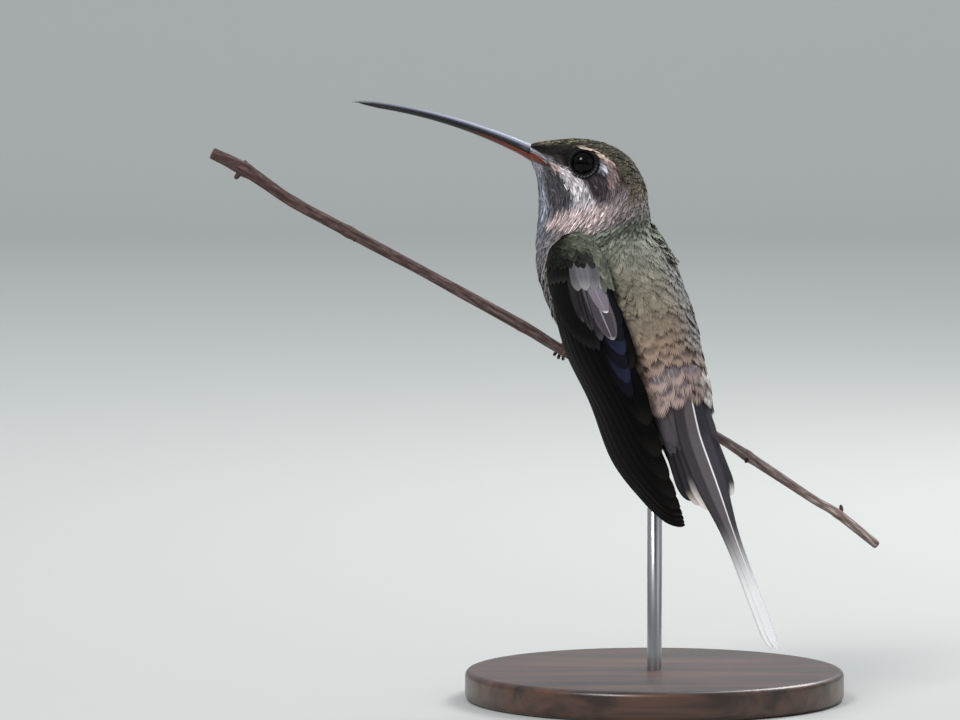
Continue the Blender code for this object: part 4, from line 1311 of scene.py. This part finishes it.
def make_tail():
    """The long pair, then the fan from its outermost feather inward on each side."""
    quills = vane_material("tail_feathers", 0.5, 0.1, 0.1, 0.2)  # stiff smooth vanes
    long_pair = dict(
        start=-9.0, half=2.6, tip=0.07, root=0.8, length=54.0, slender=0.42, rows=90, lift=0.17
    )
    left = streamer_tint("#3E393D", "#2B282D", "#6C6668")
    right = streamer_tint("#5F585A", "#37333A", "#F4F2F0")
    streamers = [
        dict(long_pair, end=45.2, near=1.0, far=1.25, level=-0.42, tint=left),
        dict(long_pair, end=45.6, near=-1.0, far=-0.85, level=-0.1, tint=right),
    ]
    stack_vanes(
        "feathers_streamers", streamers, on_tail, quills, 2, "streamer_feathers", "tail_streamers"
    )
    fan = []
    for number, sign, end, out, middle, tip, tip_from in (
        (0, 1.0, 12.2, 4.9, "#231F24", "#2A2428", 0.9),
        (1, 1.0, 13.6, 3.7, "#2B272C", "#D8C6BC", 0.8),
        (2, 1.0, 14.9, 2.4, "#39353A", "#F2E8E1", 0.62),
        (0, -1.0, 12.9, 3.9, "#231F24", "#F2ECE8", 0.84),
        (1, -1.0, 13.9, 2.3, "#2B272C", "#E9E3DE", 0.86),
        (2, -1.0, 14.9, 1.4, "#39353A", "#E3D2C9", 0.75),
    ):
        fan.append(
            dict(
                start=-6.0, end=end, near=sign * (3.6 - 0.9 * number), far=sign * out, half=2.1,
                tip=0.25, root=0.7, length=20.0, level=-1.9 + 0.35 * number,
                tint=vane_tint(middle, middle, "#4D474C", tip, 0.9, tip_from),
            )
        )
    stack_vanes("feathers_fan", fan, on_tail, quills, 6, "wing_feathers", "tail_fan")


make_tail()

# ------------------------------------------------------------------ twig
# A thin dead twig with its bark on, which the bird grips. It is cut clean at both ends, and has
# low knots and a few stubs where side shoots and leaves grew.

TWIG_POINTS = np.array(
    (
        # x, z, radius
        (-88.0, 110.0, 1.25),
        (-81.4, 106.6, 1.35),
        (-71.8, 100.1, 1.15),
        (-61.0, 94.2, 1.2),
        (-43.0, 84.4, 1.1),
        (-26.6, 75.2, 1.25),
        (-19.0, 70.6, 1.1),
        (0.0, 59.8, 1.05),
        (12.0, 53.0, 1.0),
        (18.6, 48.8, 1.05),
        (31.8, 40.0, 0.9),
        (36.8, 37.0, 1.0),
        (45.0, 30.4, 0.9),
    )
)
TWIG_DEPTH_SLOPE = 0.12
TWIG_NODES = (-81.4, -71.8, -61.0, -26.6, 18.6, 36.8)  # where side shoots or leaves grew, in x


def sweep_tube(line, radii, columns, swell=None):
    """Rings of points round a line, which turn as little as they can from one to the next.

    swell, if given, changes the radius at each point of each ring.
    """
    tangents = np.gradient(line, axis=0)
    tangents /= np.linalg.norm(tangents, axis=1, keepdims=True)
    angles = np.arange(columns) * 2.0 * math.pi / columns
    across = np.cross(tangents[0], (0.3, 1.0, 0.2))
    rings = []
    for number, (point, tangent, radius) in enumerate(zip(line, tangents, radii)):
        across = across - tangent * (across @ tangent)
        across /= np.linalg.norm(across)
        over = np.cross(tangent, across)
        reach = radius * (1.0 if swell is None else swell[number])
        reach = np.broadcast_to(reach, angles.shape)[:, None]
        circle = np.outer(np.cos(angles), across) + np.outer(np.sin(angles), over)
        rings.append(point + reach * circle)
    return np.array(rings)


def colour_ramp(tree, share, first, last, *between):
    """The colour at a share between stops, each a share and a colour of four numbers."""
    made = add_node(tree, "ShaderNodeValToRGB", {"Fac": share})
    elements = made.color_ramp.elements
    for element, (at, colour) in zip(elements, (first, last)):
        element.position, element.color = at, colour
    for at, colour in between:
        elements.new(at).color = colour
    return made.outputs["Color"]


def bark_material():
    """Thin bark, red-brown at the growing end and weathered grey at the other, with fine cracks."""
    material, tree = new_material("twig_bark", Roughness=0.85)
    where = add_node(tree, "ShaderNodeUVMap", uv_map="vane").outputs["UV"]
    settings = {"Vector": where, "Scale": (1.6, 0.22, 1.0)}
    long_grain = add_node(tree, "ShaderNodeMapping", settings).outputs[0]
    settings = {"Vector": long_grain, "Scale": 1.0, "Detail": 6.0, "Roughness": 0.65}
    weather = add_node(tree, "ShaderNodeTexNoise", settings).outputs["Fac"]
    settings = {"Vector": long_grain, "Scale": 5.0, "Detail": 3.0}
    cracks = add_node(tree, "ShaderNodeTexNoise", settings).outputs["Fac"]
    dark, pale = (0.32, opaque("#4A3A36")), (0.7, opaque("#D9CFCB"))
    tones = colour_ramp(tree, weather, dark, pale, (0.5, opaque("#8D7771")))
    run = add_node(tree, "ShaderNodeSeparateXYZ", {0: where}).outputs["Y"]
    settings = {"Value": run, "From Min": 20.0, "From Max": 145.0}
    age = add_node(tree, "ShaderNodeMapRange", settings).outputs[0]
    young, grown = (0.0, (0.27, 0.19, 0.18, 1.0)), (0.55, (0.38, 0.34, 0.34, 1.0))
    wash = colour_ramp(tree, age, young, (1.0, (1.0, 1.0, 0.97, 1.0)), grown)
    washed = add_node(tree, "ShaderNodeVectorMath", {0: tones, 1: wash}, operation="MULTIPLY")
    height = calculate(tree, "ADD", weather, cracks)
    finish_material(tree, washed.outputs[0], height, 0.8, 0.0002)
    return material


def twig_at(x):
    """The twig's middle line, its direction and its radius where it crosses x."""
    z = np.interp(x, TWIG_POINTS[:, 0], TWIG_POINTS[:, 1])
    radius = np.interp(x, TWIG_POINTS[:, 0], TWIG_POINTS[:, 2])
    slope = np.interp(x + 1.0, TWIG_POINTS[:, 0], TWIG_POINTS[:, 1]) - z
    direction = np.array((1.0, TWIG_DEPTH_SLOPE, slope))
    return np.array((x, TWIG_DEPTH_SLOPE * x, z)), direction / np.linalg.norm(direction), radius


def make_twig(bark):
    """A tube through the twig's points. Low swellings by chance, and a knot at each node, change
    its radius, and its ends are drawn in to a middle point."""
    rng = np.random.default_rng(11)
    rows, columns = 420, 36
    stretch = rows_between(TWIG_POINTS, np.linspace(0.0, len(TWIG_POINTS) - 1.0, rows))
    line = np.stack((stretch[:, 0], TWIG_DEPTH_SLOPE * stretch[:, 0], stretch[:, 1]), axis=1)
    angles = np.arange(columns) * 2.0 * math.pi / columns
    swell = np.ones((rows, columns))
    for _ in range(26):
        at, turn = rng.uniform(0, rows), rng.uniform(0.0, 2.0 * math.pi)
        near = bell(np.arange(rows) - at, rng.uniform(4.0, 16.0))[:, None]
        swell += near * rng.uniform(-0.05, 0.06) * (1.0 + np.cos(angles - turn))[None]
    for x in TWIG_NODES:
        near = bell(line[:, 0] - x, 0.8)[:, None]
        swell += near * (0.1 + 0.08 * np.cos(angles * 2.0 + x))[None]
    ends = np.clip(np.minimum(np.arange(rows), np.arange(rows)[::-1]) / 2.0, 0.0, 1.0)
    swell *= 0.95 * np.sqrt(0.6 + 0.4 * ends)[:, None]
    rings = sweep_tube(line, stretch[:, 2], columns, swell)
    first_cap, last_cap = (
        ring.mean(0, keepdims=True).repeat(columns, 0)[None] for ring in rings[[0, -1]]
    )
    points = np.concatenate((first_cap, rings, last_cap))
    steps = np.linalg.norm(np.diff(line, axis=0), axis=1)
    travelled = np.concatenate(((0.0, 0.0), np.cumsum(steps), (steps.sum(),)))
    around_and_down = wrapped_map(travelled, columns)
    maps = {
        "OFBake": around_and_down / (1.0, travelled[-1]),
        "vane": around_and_down * (7.0, 1.0),  # the bark is 7 mm round
    }
    made = make_mesh("twig", points, grid_quads(rows + 2, columns, True), bark, maps)
    belongs(made, "bark", "perch_twig")


def make_spurs(bark):
    """Short stubs of side shoots: tapered tubes with a slight bend."""
    count = 14
    part = np.linspace(0.0, 1.0, count)
    around = np.broadcast_to(np.arange(count) / count, (count, count))
    spurs, maps = [], []
    for x, lean, length, thick in (
        (-81.0, (-0.2, 0.1, 1.0), 1.9, 0.42),
        (-82.2, (-0.5, -0.2, -1.0), 2.1, 0.5),
        (-60.6, (0.5, -0.5, -0.8), 1.7, 0.4),
        (18.2, (0.2, -0.6, -0.9), 1.5, 0.38),
        (37.2, (0.3, 0.2, 1.0), 1.8, 0.36),
    ):
        centre, _, _ = twig_at(x)
        lean = np.array(lean) / np.linalg.norm(lean)
        bend = 0.15 * np.sin(part * 5.0)[:, None] * np.array((1.0, 0.0, 0.3))
        line = centre + (0.4 + length * part)[:, None] * lean + bend
        radii = thick * (1.5 - 0.7 * part) * np.sqrt(np.clip((1.0 - part) * 9.0, 0.0, 1.0))
        spurs.append(sweep_tube(line, radii, count))
        down = np.broadcast_to(part[:, None] * length, around.shape)
        maps.append(np.stack((around * 2.0, down), axis=-1).reshape(-1, 2))
    points, quads = join_grids(spurs)
    made = make_mesh("twig_spurs", points, quads, bark, {"vane": np.concatenate(maps)})
    belongs(made, "bark")


twig_bark = bark_material()
make_twig(twig_bark)
make_spurs(twig_bark)

# ------------------------------------------------------------------ feet
# Short scaly legs with three toes over the front of the twig and one behind, each ending in a
# dark curved claw.

FOOT_ALONG = {"left": -18.4, "right": -8.0}
LEG_TOP = {"left": (3.0, 5.5, -27.0), "right": (-1.0, -3.5, -31.5)}
TOE_RADIUS = 0.4
TOES = ((-1.0, 165.0), (0.0, 175.0), (1.0, 160.0), (0.2, -150.0))


def round_twig(side, degrees, shift, reach):
    """Points round the twig where a foot holds it, at angles off its top."""
    centre, direction, radius = twig_at(FOOT_ALONG[side])
    ahead = trunk_to_world(np.array((1.0, 0.0, 0.0))) - trunk_to_world(np.zeros(3))
    ahead -= direction * (ahead @ direction)
    ahead /= np.linalg.norm(ahead)
    above = np.cross(direction, ahead)
    turn = np.radians(degrees)
    circle = np.multiply.outer(np.cos(turn), above) + np.multiply.outer(np.sin(turn), ahead)
    return centre + np.multiply.outer(shift, direction) + (radius + reach)[:, None] * circle


def make_feet():
    """A straight ringed shank, and toes that curl round the twig and end in tapered claws."""
    scales, tree = new_material("leg_scales", Roughness=0.5)  # dry horny scutes
    finish_material(tree, tint_of(tree))
    columns = 12
    ankle_turn = -25.0  # degrees round the twig from its top
    along, part, claw = (np.linspace(0.0, 1.0, count) for count in (50, 46, 16))
    scutes = 1.0 + 0.05 * np.sin(along * 2.0 * math.pi * 14.0)
    pads = 1.0 + 0.1 * np.cos(part * 2.0 * math.pi * 9.0) - 0.25 * part
    for side in ("left", "right"):
        top = trunk_to_world(np.array(LEG_TOP[side]))
        ankle = round_twig(side, np.array((ankle_turn,)), np.zeros(1), np.array((0.7,)))[0]
        shank = top + (ankle - top) * along[:, None]
        grids, colours = [sweep_tube(shank, 0.48 * scutes, columns)], ["#5A4238"]
        for shift, end in TOES:
            curl = end - ankle_turn
            turn, reach = ankle_turn + curl * part * 0.86, np.full(len(part), 0.35 + TOE_RADIUS)
            toe = round_twig(side, turn, shift * part, reach)
            turn, reach = ankle_turn + curl * (0.84 + 0.22 * claw), 0.75 - 0.35 * claw**2
            nail = round_twig(side, turn, np.full(len(claw), shift), reach)
            grids.append(sweep_tube(toe, TOE_RADIUS * pads, columns))
            grids.append(sweep_tube(nail, 0.27 * (1.0 - 0.9 * claw), columns))
            colours += ["#5A4238", "#1C1614"]
        points, quads = join_grids(grids)
        tint = np.concatenate(
            [
                np.broadcast_to(linear(tone), grid.shape).reshape(-1, 3)
                for grid, tone in zip(grids, colours)
            ]
        )
        made = make_mesh(f"foot_{side}", points, quads, scales, tint=tint)
        belongs(made, "leg_scales", f"leg_{side}")


make_feet()

# ------------------------------------------------------------------ stand
# A turned walnut base with a bright steel rod up to a steel clasp round the twig. The
# rod's foot is let into the base, and its top is soldered to the clasp.


def wood_material():
    """Satin varnished walnut, with its grain along X."""
    material, tree = new_material(
        "varnished_walnut", Roughness=0.38, Coat_Weight=0.3, Coat_Roughness=0.25
    )
    where = add_node(tree, "ShaderNodeTexCoord").outputs["Object"]
    board = add_node(tree, "ShaderNodeMapping", {"Vector": where, "Scale": (22.0, 240.0, 240.0)})
    settings = {"Vector": board.outputs[0], "Scale": 1.0, "Detail": 6.0, "Distortion": 0.6}
    figure = add_node(tree, "ShaderNodeTexNoise", settings).outputs["Fac"]
    tones = colour_ramp(tree, figure, (0.35, opaque("#2A1A12")), (0.68, opaque("#5E4030")))
    finish_material(tree, tones, figure, 0.15, 0.0001)
    return material


def make_disc():
    """The base: a disc turned with quarter-round edges."""
    radius, height = 0.5 * box_size("stand_base")[0], box_size("stand_base")[2]
    rounding, columns = 1.2, 128
    turn = np.linspace(0.0, 0.5 * math.pi, 8)
    inset, top = radius - rounding, height - rounding
    edge = [(inset + rounding * math.sin(a), rounding - rounding * math.cos(a)) for a in turn]
    rim = [(inset + rounding * math.cos(a), top + rounding * math.sin(a)) for a in turn]
    profile = [(0.01, 0.0), *edge, *rim, (0.01, height)]
    quads = grid_quads(len(profile), columns, True)
    made = make_mesh("stand_disc", lathe(profile, columns), quads, wood_material())
    belongs(made, "base_wood", "stand_base")


def make_rod_and_clasp():
    """A plain round rod, and a short tube round the twig with its outer edges broken."""
    steel, _ = new_material(  # satin steel
        "satin_steel", Base_Color=opaque("#B4B5B6"), Roughness=0.28, Metallic=1.0
    )
    centre, direction, twig_radius = twig_at(0.0)
    inner, outer, chamfer, half_length = twig_radius + 0.05, twig_radius + 1.2, 0.2, 2.5
    rod_radius = 0.49 * box_size("stand_rod")[0]
    foot = box_size("stand_base")[2] - 0.3  # the rod's foot stands this far down in the base
    top = centre[2] - outer / math.hypot(direction[0], direction[1]) + 0.4
    profile = [(rod_radius, foot), (rod_radius, top), (0.01, top)]
    made = make_mesh("stand_post", lathe(profile, 32), grid_quads(3, 32, True), steel)
    belongs(made, "rod_steel", "stand_rod")

    shoulder = half_length - chamfer
    offsets = np.array(
        (-half_length, -half_length, -shoulder, shoulder, half_length, half_length, -half_length)
    )
    radii = np.array((inner, outer - chamfer, outer, outer, outer - chamfer, inner, inner))
    across = np.cross(direction, (0.0, 1.0, 0.0))
    across /= np.linalg.norm(across)
    over = np.cross(direction, across)
    columns = 40
    angles = np.arange(columns) * 2.0 * math.pi / columns
    circle = np.outer(np.cos(angles), across) + np.outer(np.sin(angles), over)
    points = centre + offsets[:, None, None] * direction + radii[:, None, None] * circle[None]
    made = make_mesh("stand_collar", points, grid_quads(len(radii), columns, True), steel)
    belongs(made, "rod_steel", "stand_clasp")


make_disc()
make_rod_and_clasp()
